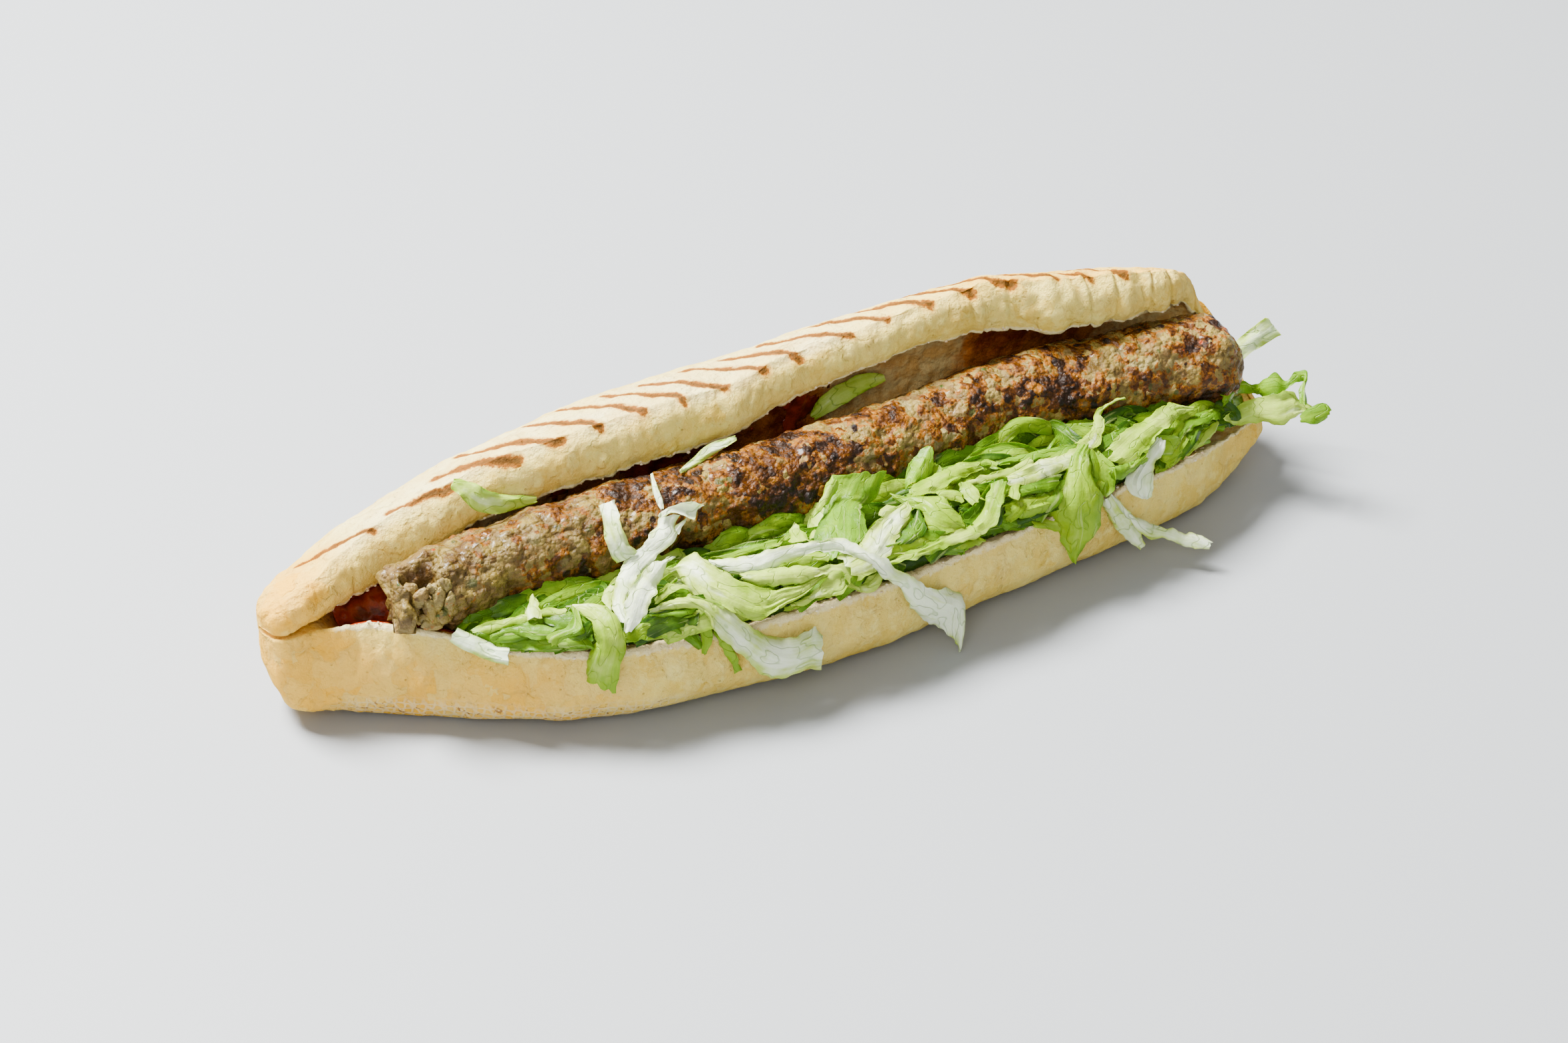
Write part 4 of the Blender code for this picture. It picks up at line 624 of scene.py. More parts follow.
def bread_material():
    look = Look("bread", (0.8, 0.66, 0.43), 0.72, Specular_IOR_Level=0.07, **soft(0.12, (0.0022, 0.0014, 0.0008)))
    grain, between, tint, named = look.grain, look.between, look.tint, look.named
    look.colour = look.blend(between(grain(0.012, 4), 0.36, 0.66), (0.9, 0.69, 0.15), (0.74, 0.5, 0.07))
    tint(between(grain(0.0026, 3), 0.45, 0.75), (0.89, 0.73, 0.2))
    tint(named("floury"), (0.95, 0.83, 0.43))
    tint(named("golden"), (0.93, 0.44, 0.006))
    where = look.warped(0.004, 0.006)
    flake = look.parts(look.cell(0.006, where)["Color"])[0]
    tint(flake, (0.92, 0.78, 0.26), 0.4)
    tint(between(grain(0.0045, 2, (1, 0.4, 0.4)), 0.47, 0.4), (0.62, 0.41, 0.14), 0.14)
    crust = look.maths("SUBTRACT", 1.0, named("crumb"))
    split = between(look.cell(0.006, where, "DISTANCE_TO_EDGE")[0], 0.16, 0.02)
    split = look.times(look.times(split, between(grain(0.009, 2), 0.42, 0.58)), crust)
    tint(split, (0.56, 0.34, 0.07), 0.22)
    dots = between(look.cell(0.003)[0], 0.1, 0.05)
    tint(dots, (0.5, 0.26, 0.07), 0.3)

    # Ring-shaped dents that the baking tray left
    rings = look.cell(0.002, None, "DISTANCE_TO_EDGE", 0.35)[0]
    dent = look.times(between(rings, 0.2, 0.05), named("dented"))
    tint(dent, (0.88, 0.76, 0.48), 0.44)
    tint(look.times(between(grain(0.0016, 3), 0.6, 0.68), named("dented")), (0.32, 0.12, 0.03), 0.9)

    # Grill marks, with a broken edge
    mark = look.plus(named("mark"), look.scaled(grain(0.0011, 4), 1.1, -0.55))
    tone = look.blend(look.times(between(mark, 0.25, 0.95), named("burn")), (0.235, 0.062, 0.002),
                      (0.042, 0.01, 0.001))
    tint(between(named("mark"), -0.5, 0.3), (0.68, 0.31, 0.015), 0.55)
    tint(between(mark, 0.02, 0.38), tone, 0.92)

    # Crumb inside the mouth, with sauce soaked in; the heaviest sauce tone, nearly black, lies deepest in the mouth
    # and is partly painted shade
    sauce_and_shade = look.plus(named("sauce"), look.scaled(grain(0.003, 4), 0.8, -0.4))
    inner = look.blend(between(grain(0.0035, 4), 0.38, 0.62), (0.78, 0.56, 0.22), (0.66, 0.38, 0.11))
    inner = look.blend(between(sauce_and_shade, 0.15, 0.6), inner, (0.5, 0.15, 0.02))
    inner = look.blend(between(sauce_and_shade, 0.6, 1.05), inner, (0.15, 0.02, 0.005))
    torn = look.plus(named("rim"), look.scaled(grain(0.0016, 4), 1.2, -0.9))
    tint(between(torn, 0.05, 0.45), (0.92, 0.8, 0.46), 0.75)
    tint(named("crumb"), inner)
    gloss = look.times(between(sauce_and_shade, 0.3, 0.9), named("crumb"))
    return look.finish((grain(0.0014, 5, roughness=0.72), 0.0009), (grain(0.0045, 4), 0.0015),
                       (look.times(flake, crust), 0.0006), (split, -0.00022), (dent, 0.00016), (dots, -0.0003),
                       Roughness=look.scaled(gloss, -0.5, 0.74))


def meat_material():
    look = Look("grilled_meat", (0.3, 0.2, 0.08), 0.42, Specular_IOR_Level=0.16, Coat_Weight=0.16,
                Coat_Roughness=0.14, **soft(0.06, (0.0016, 0.0008, 0.0005)))
    grain, between, tint, named = look.grain, look.between, look.tint, look.named
    cell = look.cell(0.0025, look.warped(0.0022, 0.003))
    shade, other = look.parts(cell["Color"]).values()[:2]
    look.colour = look.blend(between(grain(0.0038, 3), 0.4, 0.62), (0.222, 0.152, 0.036), (0.11, 0.068, 0.013))
    tint(between(other, 0.7, 0.86), (0.33, 0.245, 0.07), 0.45)
    tint(between(other, 0.25, 0.12), (0.085, 0.036, 0.01), 0.6)
    hue = grain(0.006, 2)
    tint(between(hue, 0.53, 0.62), (0.23, 0.132, 0.046), 0.45)
    tint(between(hue, 0.46, 0.38), (0.33, 0.235, 0.04), 0.55)
    tint(named("onion"), (0.27, 0.23, 0.09))

    brown = look.plus(named("brown"), look.scaled(grain(0.0016, 5, roughness=0.65), 1.5, -0.75))
    brown = look.plus(brown, look.scaled(shade, 0.6, -0.3))
    brown = look.scaled(between(other, 0.76, 0.9), -0.34, brown)
    tint(between(brown, 0.16, 0.3), (0.25, 0.084, 0.002), 0.97)
    tint(between(brown, 0.34, 0.52), (0.08, 0.023, 0.001))
    tint(between(brown, 0.62, 0.92), (0.014, 0.005, 0.002))
    black = look.plus(named("black"), look.scaled(grain(0.0012, 4), 1.0, -0.5))
    tint(between(black, 0.12, 0.5), (0.012, 0.007, 0.006))
    herb = look.plus(named("herb"), look.scaled(grain(0.0009, 3), 0.9, -0.45))
    tint(between(herb, 0.2, 0.5), (0.06, 0.075, 0.018), 0.85)

    # Bits of herb and of red pepper
    bits = look.cell(0.0052)
    small = between(bits["Distance"], 0.13, 0.09)
    _, greenish, reddish = look.parts(bits["Color"]).values()[:3]
    tint(look.times(small, between(greenish, 0.6, 0.64)), (0.055, 0.085, 0.015))
    tint(look.times(small, between(reddish, 0.8, 0.84)), (0.42, 0.06, 0.01))
    # Painted shade, from the deep attribute: creases, the torn hollow and the left end darker
    tint(named("deep"), (0.04, 0.014, 0.002), 0.66)
    return look.finish((cell["Distance"], -0.00055), (grain(0.0014, 5, roughness=0.62), 0.0006),
                       (look.cell(0.0011)[0], -0.00042),
                       Roughness=look.scaled(between(grain(0.003, 3), 0.38, 0.6), 0.3, 0.2))


def leaf_material():
    look = Look("lettuce_leaf", (0.5, 0.7, 0.12), 0.4, Specular_IOR_Level=0.16,
                **soft(0.3, (0.001, 0.0014, 0.0005)))
    u, v, w, seed = (look.named("leaf_" + key) for key in ("u", "v", "w", "seed"))

    def lengthways(along_, across, detail):
        where = look.add("CombineXYZ", {"X": look.times(u, along_), "Y": look.times(w, across), "Z": seed})[0]
        return look.add("TexNoise", {"Vector": where, "Scale": 1.0, "Detail": detail, "Roughness": 0.5})["Fac"]

    streak, branch = lengthways(0.07, 0.8, 3.0), lengthways(0.16, 0.3, 1.0)
    rim = look.times(look.maths("POWER", look.maths("ABSOLUTE", v), 3.0), 0.14)
    tone = look.plus(look.named("leaf_green"), rim)
    tone = look.plus(tone, look.scaled(streak, 0.3, -0.16))
    tone = look.plus(tone, look.scaled(look.grain(0.007, 3), 0.56, -0.29))
    colours = look.add("ValToRGB", {"Fac": tone})[0]
    band = colours.node.color_ramp
    while len(band.elements) < len(LEAF_GREENS):
        band.elements.new(0.5)
    for element, (at, colour) in zip(band.elements, LEAF_GREENS):
        element.position = at
        element.color = (*colour, 1)
    look.colour = colours
    veins = look.between(look.maths("ABSOLUTE", look.maths("SUBTRACT", branch, 0.5)), 0.022, 0.004)
    look.tint(veins, (0.16, 0.3, 0.02), 0.34)
    look.tint(look.between(streak, 0.6, 0.68), (0.58, 0.7, 0.2), 0.3)
    return look.finish((streak, 0.00026), (veins, -0.00018), (look.grain(0.0016, 3), 0.0002))


def plain_material(name, colour, roughness, size, detail, span, ends, bump=None, **inputs):
    """A material of two colours that noise of one size mixes, with a bump of (size, detail, depth)."""
    look = Look(name, colour, roughness, **inputs)
    fac = look.grain(size, detail)
    look.colour = look.blend(look.between(fac, *span) if span else fac, *ends)
    return look.finish(*([(look.grain(*bump[:2]), bump[2])] if bump else []))


def grill_marks(x, y, z):
    """How deep in a mark each point lies (1 on its middle, 0 on its edge) and how burnt the mark is there."""
    deep = np.full(x.shape, -1.0)
    burn = np.zeros(x.shape)
    plan = np.stack([x, y, z * 0], 1)
    bend = 0.0013 * rough(plan, 0.0075, 5.0) + 0.0005 * rough(plan, 0.0024, 6.0)
    for n, (*right, xl, yl) in enumerate(GRILL_MARKS):
        right = np.array(right) / 1000
        ahead = np.array([xl, yl]) / 1000 - right
        length = np.linalg.norm(ahead)
        ahead = ahead / length
        dx, dy = x - right[0], y - right[1]
        run = dx * ahead[0] + dy * ahead[1]
        aside = dx * ahead[1] - dy * ahead[0] + bend
        reach = length + 0.0008
        half = MARK_HALF_WIDTH * min(1.0, 0.6 + 0.15 * n) * (1.0 - 0.22 * np.clip(run / reach, 0, 1) ** 2)
        ends = np.maximum(-run, run - reach).clip(0, None)
        here = 1 - np.hypot(aside, ends) / half
        burn = np.where(here > deep, 0.95 - 0.6 * ramp(run, 0.0, 0.02), burn)
        deep = np.maximum(deep, here)
    return deep.clip(-1, 1), burn


def build_bread():
    """The roll, with its grid of points, and each point's stretch and place along it, from 0 to 1."""
    xs = crowded(STATIONS, FRONT_Y[0][0], FRONT_Y[-1][0], 0.45)
    grid = np.array([np.insert(roll_section(x), 0, x, axis=1) for x in xs])
    kinds = np.tile(np.repeat(range(len(COUNTS)), COUNTS), STATIONS)
    parts = np.tile(np.concatenate([np.arange(c) / c for c in COUNTS]), STATIONS)
    out = grid_normals(grid)
    flat = grid.reshape(-1, 3)
    x, y, z = flat.T

    def on(**values):
        """A value for each stretch named, and 0 for the others."""
        found = np.zeros(len(x))
        for name, value in values.items():
            found = np.where(kinds == STRETCHES.index(name), value, found)
        return found

    swell = np.where(z > 0.004, -CRUST_SWELL * rough(flat, CRUST_SWELL_SIZE), 0.0)
    # Near the mouth's two ends the crust closes, so the crumb fades out
    open_ = ramp(x, -0.124, -0.113) * ramp(x, 0.133, 0.127)
    inside = np.isin(kinds, (1, 2)) * open_
    crust = ramp(z, 0.0, 0.003) * (1 - inside)
    near_lip = on(lower=ramp(parts, 0.93, 1.0), floor=1 - ramp(parts, 0.0, 0.09))
    near_edge = on(edge=1 - ramp(parts, 0.0, 0.14), roof=ramp(parts, 0.86, 1.0))

    # Wrinkles that run up the crust where it was bent
    lid_side = on(edge=1.0, top=1 - ramp(parts, 0.0, 0.3))
    folds = rough(flat * (1, 0.28, 0.28), 0.0034, 3.0)
    thin = rough(flat * (1, 0.22, 0.22), 0.0058, 9.0)
    right_end = ramp(x, 0.035, 0.08)
    strength = lid_side * (0.55 + 1.05 * right_end) + 0.4 * on(lower=ramp(parts, 0.55, 0.8))
    swell += strength * (0.0008 * folds - 0.0006 * np.clip(1 - np.abs(thin) / 0.1, 0, 1))
    swell += crust * (0.00046 * rough(flat, 0.0095, 1.0) + 0.0003 * rough(flat, 0.0034, 2.0)
                      + 0.00012 * rough(flat, 0.0016, 24.0))
    swell += right_end * lid_side * 0.00095 * rough(flat * (1, 0.3, 0.3), 0.0075, 11.0)
    swell -= crust * 0.00022 * np.clip(1 - cells(flat, 0.0052, 4.0)[0] / 0.22, 0, 1)

    # Open crumb
    pores = 0.00035 * np.clip(1 - cells(flat, 0.003, 7.0)[0] / 0.42, 0, 1)
    slit = ramp(x, -0.088, -0.098)
    swell += inside * ((1 - 0.9 * slit) * (0.00055 * rough(flat, 0.0024, 6.0) - pores) - 0.00025)

    mark, burn = grill_marks(x, y, z)
    mark = np.where((kinds == 4) | ((kinds == 3) & (parts > 0.7)) | ((kinds == 5) & (parts < 0.1)), mark, -1.0)
    swell -= 0.00022 * ramp(mark, 0.0, 0.8)

    # Torn edges of the cut
    moved = flat + out * swell[:, None]
    tear = 0.00075 * rough(flat * (1, 0, 0) + (0, 0.3, 0), 0.003, 2.0) + 0.00045 * rough(flat, 0.0011, 4.0)
    moved[:, 2] += (near_lip + near_edge * (1 - 0.75 * ramp(x, 0.0, 0.04))) * open_ * tear
    moved[:, 1] += near_edge * open_ * 0.0004 * rough(flat, 0.0016, 8.0)
    base = np.repeat([along(BASE_Z, s) for s in xs], sum(COUNTS))
    moved[:, 2] = np.maximum(moved[:, 2], base)

    floury = on(top=1 - 0.5 * ramp(parts, 0.55, 0.95), edge=ramp(parts, 0.72, 1.0))
    floury = np.clip(floury * (0.62 + 0.35 * rough(flat, 0.008, 23.0)), 0, 1)
    floury *= (1 - 0.8 * ramp(x, -0.1, -0.122)) * (1 - ramp(x, 0.01, 0.06))
    golden = ramp(x, -0.104, -0.126) + 0.5 * ramp(x, 0.105, 0.132) * np.isin(kinds, (0, 3, 4, 5))
    golden += on(lower=0.75 * ramp(x, -0.04, -0.085) * ramp(z, 0.028, 0.014),
                 top=0.62 * ramp(x, 0.02, 0.075), back=0.55)
    golden = np.clip(golden + 0.16 * rough(flat, 0.011, 21.0), 0, 0.85) * (1 - inside)
    dented = on(lower=ramp(x, -0.122, -0.112) * ramp(x, -0.035, -0.055) * ramp(z, 0.0105, 0.0065))
    # Sauce lies heavier deep in the mouth: real sauce, and partly painted shade in the recess
    sauce_and_shade_depth = on(floor=ramp(parts, 0.45, 0.8), roof=1.0 - 0.35 * ramp(parts, 0.72, 1.0))
    reach = ramp(x, -0.066, -0.04) * ramp(x, 0.112, 0.086)
    reach *= 1 - 0.8 * ramp(x, 0.014, 0.026) * ramp(x, 0.068, 0.052)
    sauce = inside * np.clip(sauce_and_shade_depth * reach + slit * 1.1 + 0.35 * rough(flat, 0.009, 31.0) - 0.12, 0, 1.2)
    values = {"golden": golden, "floury": floury, "dented": dented, "mark": mark, "burn": burn, "sauce": sauce,
              "crumb": inside * (1 - 0.85 * near_lip * (kinds == 1)), "rim": (near_lip + near_edge) * open_}
    shaped = moved.reshape(grid.shape)
    return make_object("bread_roll", *tube(shaped), capped(values)), shaped, kinds, parts


def build_kebab():
    xs = crowded(MEAT_STATIONS, KEBAB_LEFT, KEBAB_RIGHT, 0.4)
    angle, c, s = circle(MEAT_SIDES)
    grid = np.zeros((MEAT_STATIONS, MEAT_SIDES, 3))
    for i, x in enumerate(xs):
        axis_y, radius = along(KEBAB_AXIS_Y, x), along(KEBAB_RADIUS, x)
        right = min(1.0, max(0.0, (x - (KEBAB_RIGHT - END_ROUND)) / END_ROUND))
        left = min(1.0, max(0.0, 1 - (x - KEBAB_LEFT) / 0.0035))
        taper = (0.42 + 0.58 * math.sqrt(1 - right * right)) * (1 - 0.22 * left * left)
        tear = min(1.0, max(0.0, 1 - (x - KEBAB_LEFT) / TORN_LENGTH))
        ring = np.stack([np.full(MEAT_SIDES, x), radius * c, radius * s], 1)
        swell = KEBAB_BEND * rough(ring, 0.03) + KEBAB_LUMP * (1 + tear) * rough(ring + (1, 0, 0), KEBAB_LUMP_SIZE)
        swell += NUB_HEIGHT * np.clip(1 - np.hypot((x - NUB_X) / 0.0035, (angle - 1.25) / 0.35), 0, 1)
        r = (radius + swell) * taper
        shift = tear * TORN_DEPTH * rough(np.stack([c * 1.7, s * 1.7, np.full(MEAT_SIDES, 4.2)], 1), 1.0)
        y, z = axis_y + r * c, KEBAB_Z + r * s
        if x < REST_END:
            inward = np.maximum(0.0, y - along(LIP_Y, x) - 0.001)
            z = np.maximum(z, along(LIP_Z, x) + 0.0013 - 0.8 * inward)
        grid[i] = np.stack([x + shift, y, z], 1)

    flat, out = grid.reshape(-1, 3), -grid_normals(grid)
    x = flat[:, 0]
    a = np.tile(angle, MEAT_STATIONS)
    radius = np.repeat([along(KEBAB_RADIUS, v) for v in xs], MEAT_SIDES)
    axis_y = np.repeat([along(KEBAB_AXIS_Y, v) for v in xs], MEAT_SIDES)

    # Coarse mince: lumps with creases between them
    first, second = cells(flat, 0.0043, 1.0)
    swell = 0.00045 * (0.42 - first) + 0.0005 * (0.42 - cells(flat, 0.0022, 5.0)[0])
    swell -= 0.0003 * np.clip(1 - (second - first) / 0.2, 0, 1) * ramp(rough(flat, 0.01, 3.0), -0.15, 0.35)
    swell += 0.00065 * rough(flat, 0.007, 2.0) + 0.0004 * rough(flat, 0.0032, 8.0)
    swell += 0.00022 * rough(flat, 0.0014, 18.0) - 0.00015
    swell -= 0.00022 * np.clip(1 - np.abs(rough(flat * (0.45, 1, 1), 0.006, 14.0)) / 0.05, 0, 1)

    # The torn end: a slab still hangs on, with a ragged hollow between it and the rest
    middle = HOLLOW_X + 0.0016 * rough(flat, 0.0035, 12.0)
    width = 0.0044 + 0.001 * rough(flat, 0.005, 15.0)
    window = ramp(a, math.radians(78), math.radians(108)) * ramp(a, math.radians(262), math.radians(225))
    hollow = np.clip(1 - np.abs((x - middle) / width) ** 3, 0, 1) * window
    torn = ramp(x, -0.089, -0.0935) * (0.4 + 0.6 * window)
    inwards = np.stack([x * 0, axis_y - flat[:, 1], KEBAB_Z - flat[:, 2]], 1)
    share = np.clip(hollow * (0.52 + 0.28 * rough(flat, 0.003, 17.0)), 0, 0.85)
    lift = swell + torn * 0.0008 * rough(flat, 0.0024, 19.0)
    moved = flat + out * lift[:, None] + inwards * share[:, None]

    warp = 0.0011 * np.stack([rough(flat, 0.004, 22.0), rough(flat, 0.004, 27.0)])

    def spots(table, warp_x=1, warp_a=1):
        """How far inside the nearest spot each point lies: 1 in its middle, 0 on its rim, -1 at most outside."""
        best = np.full(x.shape, -1.0)
        for spot_x, degrees, size in np.reshape(table, (-1, 3)):
            turn = (a - math.radians(degrees) + math.pi) % (2 * math.pi) - math.pi
            away = np.hypot(x - spot_x / 1000 + warp[0] * warp_x, turn * radius + warp[1] * warp_a)
            best = np.maximum(best, 1 - away / (size / 1000))
        return best

    brown = 0.25 + np.interp(x * 1000, *zip(*BROWN_COVER)) + 0.34 * np.clip(spots(BROWN_SPOTS) + 0.35, 0, 1)
    brown += 0.55 * rough(flat, 0.006, 35.0) + 0.42 * rough(flat, 0.0026, 36.0) + 260 * swell
    under = ramp(a, math.radians(168), math.radians(192)) * (a < math.radians(300)) * ramp(x, -0.088, -0.074)
    brown = np.clip(brown + 0.32 * under - 0.8 * torn, -1, 1.2)
    # Painted shade: darker in the creases between lumps, in the torn hollow and towards the left end
    deep = np.clip(ramp(swell, -0.0001, -0.001) * 0.8 + hollow * 0.9 + 0.35 * ramp(x, -0.04, -0.062), 0, 1)
    values = {"brown": brown, "black": spots(BLACK_SPOTS, 0.6, 0.6), "herb": spots(HERB_SPOTS, 0.9, 0.3),
              "onion": ramp(spots(ONION_SPOTS), 0.0, 0.45) * 0.55, "deep": deep}
    return make_object("kebab_meat", *tube(moved.reshape(grid.shape), flip=True), capped(values))


def blob(middle, size, seed, detail=2):
    """A small irregular lump, as points and faces."""
    shape = bmesh.new()
    bmesh.ops.create_icosphere(shape, subdivisions=detail, radius=1.0)
    verts = np.array([v.co for v in shape.verts])
    faces = [[v.index for v in f.verts] for f in shape.faces]
    shape.free()
    verts = verts * (1 + 0.42 * rough(verts, 0.9, seed)[:, None] + 0.2 * rough(verts, 0.35, seed + 3)[:, None])
    return verts * size + middle, faces


def gather(parts):
    """Joins (points, faces) pairs into one list of points and one of faces."""
    verts, faces, start = [], [], 0
    for points, polygons in parts:
        verts.append(points)
        faces += [[start + i for i in f] for f in polygons]
        start += len(points)
    return np.vstack(verts), faces


def build_flakes():
    parts = []
    for n, (x, y, z, a, b, c, turn) in enumerate(FLAKES):
        points, faces = blob(np.zeros(3), np.array([a, b, c]) / 1000, 40.0 + 3.1 * n, 3)
        t = math.radians(turn)
        spun = np.stack([points[:, 0] * math.cos(t) + points[:, 2] * math.sin(t), points[:, 1],
                         points[:, 2] * math.cos(t) - points[:, 0] * math.sin(t)], 1)
        parts.append((spun * FLAKE_SCALE + np.array([x, y - 0.5, z]) / 1000, faces))
    verts, faces = gather(parts)
    shade = {"brown": -0.22 + 0.7 * rough(verts, 0.003, 3.0), "black": np.full(len(verts), -1.0),
             "herb": rough(verts, 0.003, 9.0) - 0.25, "onion": 0.35 * ramp(rough(verts, 0.003, 6.0), -0.1, 0.3),
             "deep": np.zeros(len(verts))}
    return make_object("torn_flakes", verts, faces, shade)


def leaf_ribbon(points, number, green, thick=0.0006, across=9, step=0.00085, ragged=0.0005):
    """A thin wavy strip of leaf through points, each x, y, z and width. Returns points, faces and attributes."""
    rows = np.array(points, float)
    lengths = np.linalg.norm(np.diff(rows[:, :3], axis=0), axis=1)
    steps = max(2, int(round(lengths.mean() / step)))
    path = spline(rows, steps)
    centre, count = path[:, :3], len(path)
    runs = run_along(centre)
    reach = max(1, steps // 2)
    tops, lows, places = [], [], []

    def wave_at(*where):
        return noise.noise(Vector(where))

    for k, run in enumerate(runs):
        ahead = Vector(centre[min(k + reach, count - 1)] - centre[max(k - reach, 0)]).normalized()
        out = Vector(FACING)
        out = (out - ahead * out.dot(ahead)).normalized()
        side = ahead.cross(out)
        p = k / steps
        roll = math.radians(TWIST * wave_at(p * 0.7, number * 3.7, 1.0))
        side, out = side * math.cos(roll) + out * math.sin(roll), out * math.cos(roll) - side * math.sin(roll)
        half = max(path[k, 3], 0.0008) / 2
        near_end = max(0.0, 1 - min(k, count - 1 - k) / 3)
        for v in np.linspace(-1, 1, across):
            wave = RUFFLE * wave_at(p * 1.4, v * 1.3, number * 5.1) * abs(v)
            wave += 0.0006 * v * v * wave_at(run / 0.0032, v * 2.0, number * 1.7)
            wave += 0.00022 * wave_at(run / 0.0016, v * 3.1, number * 2.3)
            wide = 1 + 0.1 * abs(v) ** 3 * wave_at(run / 0.0026, math.copysign(2.0, v), number * 0.9)
            slip = near_end * ragged * wave_at(v * 2.6, number * 4.4, float(k > count / 2))
            spot = centre[k] + np.array(side) * (v * half * wide) + np.array(ahead) * slip
            spot = spot + np.array(out) * (wave - CURL * abs(v) ** 1.4 * half)
            depth = np.array(out) * (thick * (1 - 0.55 * abs(v) ** 2) / 2)
            tops.append(spot + depth)
            lows.append(spot - depth)
            places.append((run * 1000, v, v * half * 1000))
    return leaf_shell(lows, tops, np.array(places).T, green, number, across)


def leaf_shell(tops, lows, places, green, number, across):
    """Closes the two faces of a leaf into one mesh. Returns points, faces and attributes."""
    n = len(tops)
    last = n // across - 1
    faces = []

    def wall(quad, turned):
        faces.append(quad[::-1] if turned else quad)

    for k in range(last):
        low, high = k * across, (k + 1) * across - 1
        for a in range(low, high):
            faces.append([a, a + across, a + across + 1, a + 1])
            faces.append([n + a, n + a + 1, n + a + across + 1, n + a + across])
        for a in (low, high):
            wall([a, n + a, n + a + across, a + across], a == high)
    for start in (0, last * across):
        for a in range(start, start + across - 1):
            wall([a, n + a, n + a + 1, a + 1], start == 0)
    u, v, w = places
    tone = np.full(n, green) if np.isscalar(green) else np.interp(u, np.linspace(0, u[-1], len(green)), green)
    extra = {"leaf_u": u, "leaf_v": v, "leaf_w": w, "leaf_green": tone, "leaf_seed": np.full(n, number * 1.37)}
    return np.vstack([tops, lows]), faces, {key: np.concatenate([value, value]) for key, value in extra.items()}


def leaf_sheet(green, thick, bow, steps, number):
    """A thin sheet of leaf between two edges, wavy and torn along them."""
    rows = np.cumsum(np.reshape(steps, (-1, 6)), axis=0)
    rows[:, 3:] += rows[:, :3]
    rows = rows / 10 / 1000
    middle = (rows[:, :3] + rows[:, 3:]) / 2
    lengths = np.linalg.norm(np.diff(middle, axis=0), axis=1)
    path = spline(rows, max(2, int(round(lengths.mean() / SHEET_STEP))))
    a, b = path[:, :3], path[:, 3:]
    count = len(path)
    wide = np.maximum(np.linalg.norm(b - a, axis=1), 0.0003)
    across = int(np.clip(round(np.percentile(wide, 75) / SHEET_STEP), 5, 15))
    side = (b - a) / wide[:, None]
    middle = (a + b) / 2
    ahead = unit(np.gradient(middle, axis=0), 1e-9)
    out = unit(np.cross(ahead, side), 1e-9)
    out *= np.where(out @ FACING < 0, -1, 1)[:, None]
    out = out + 0.5 * np.array(FACING)
    for _ in range(3):
        out[1:-1] = (out[:-2] + 2 * out[1:-1] + out[2:]) / 4
    out = unit(out, 0)
    # From here on one row for each point of the sheet, v running from -1 to 1 across it
    v, run = np.tile(np.linspace(-1, 1, across), count), np.repeat(run_along(middle), across)
    wide, middle, side, ahead, out = (np.repeat(value, across, axis=0) for value in (wide, middle, side, ahead, out))

    def waves(size, turns, add=0.0):
        return rough(np.stack([run / size, v * turns, np.full(len(v), number * 5.1 + add)], 1), 1.0)

    narrow = np.clip(wide / 0.006, 0.25, 1)
    rise = bow * wide * (1 - v**2)
    rise = rise + 0.0017 * narrow * v**2 * waves(0.0055, 1.4) + 0.0009 * np.abs(v) ** 3 * waves(0.0024, 1.6, 7)
    rise = rise + 0.0007 * narrow * waves(0.012, 3.4, 13) + 0.00026 * waves(0.0017, 3.0, 17)
    ends = np.repeat(np.clip(1 - np.minimum(np.arange(count), count - 1 - np.arange(count)) / 2, 0, 1), across)
    thin = 1.0 if thick < 1.5 else 0.25
    slip = 0.0016 * thin * ends * np.clip(wide / 0.003, 0, 1) * waves(10.0, 3.0, 23)
    torn = np.stack([run / 0.0019, np.sign(v) * 3, np.full(len(v), number * 5.1)], 1)
    torn = 0.0006 * thin * v**4 * rough(torn, 1.0) * np.sign(v)
    base = middle + side * (v * wide / 2 + torn)[:, None] + out * rise[:, None] + ahead * slip[:, None]
    half = out * (thick / 2000 * (0.62 if thick < 1 else 1.0) * (1 - 0.5 * v**4))[:, None]
    # The shell's faces look outwards only if side, ahead and out turn the right way
    if np.einsum("ij,ij->i", np.cross(side, ahead), out).mean() > 0:
        half = -half
    return leaf_shell(base + half, base - half, (run * 1000, v, v * wide * 500), green, number, across)


def leaves_object(name, leaves):
    verts, faces = gather([leaf[:2] for leaf in leaves])
    extra = {key: np.concatenate([leaf[2][key] for leaf in leaves]) for key in leaves[0][2]}
    return make_object(name, verts, faces, extra, crease=50)


def clear_of_meat(point):
    """Moves a point out of the kebab."""
    x, y, z = point
    radius = along(KEBAB_RADIUS, x) + 0.0009
    dy, dz = y - along(KEBAB_AXIS_Y, x), z - KEBAB_Z
    away = math.hypot(dy, dz)
    if away < radius and KEBAB_LEFT < x < KEBAB_RIGHT:
        y, z = y + dy * (radius / away - 1), z + dz * (radius / away - 1)
    return x, y, z


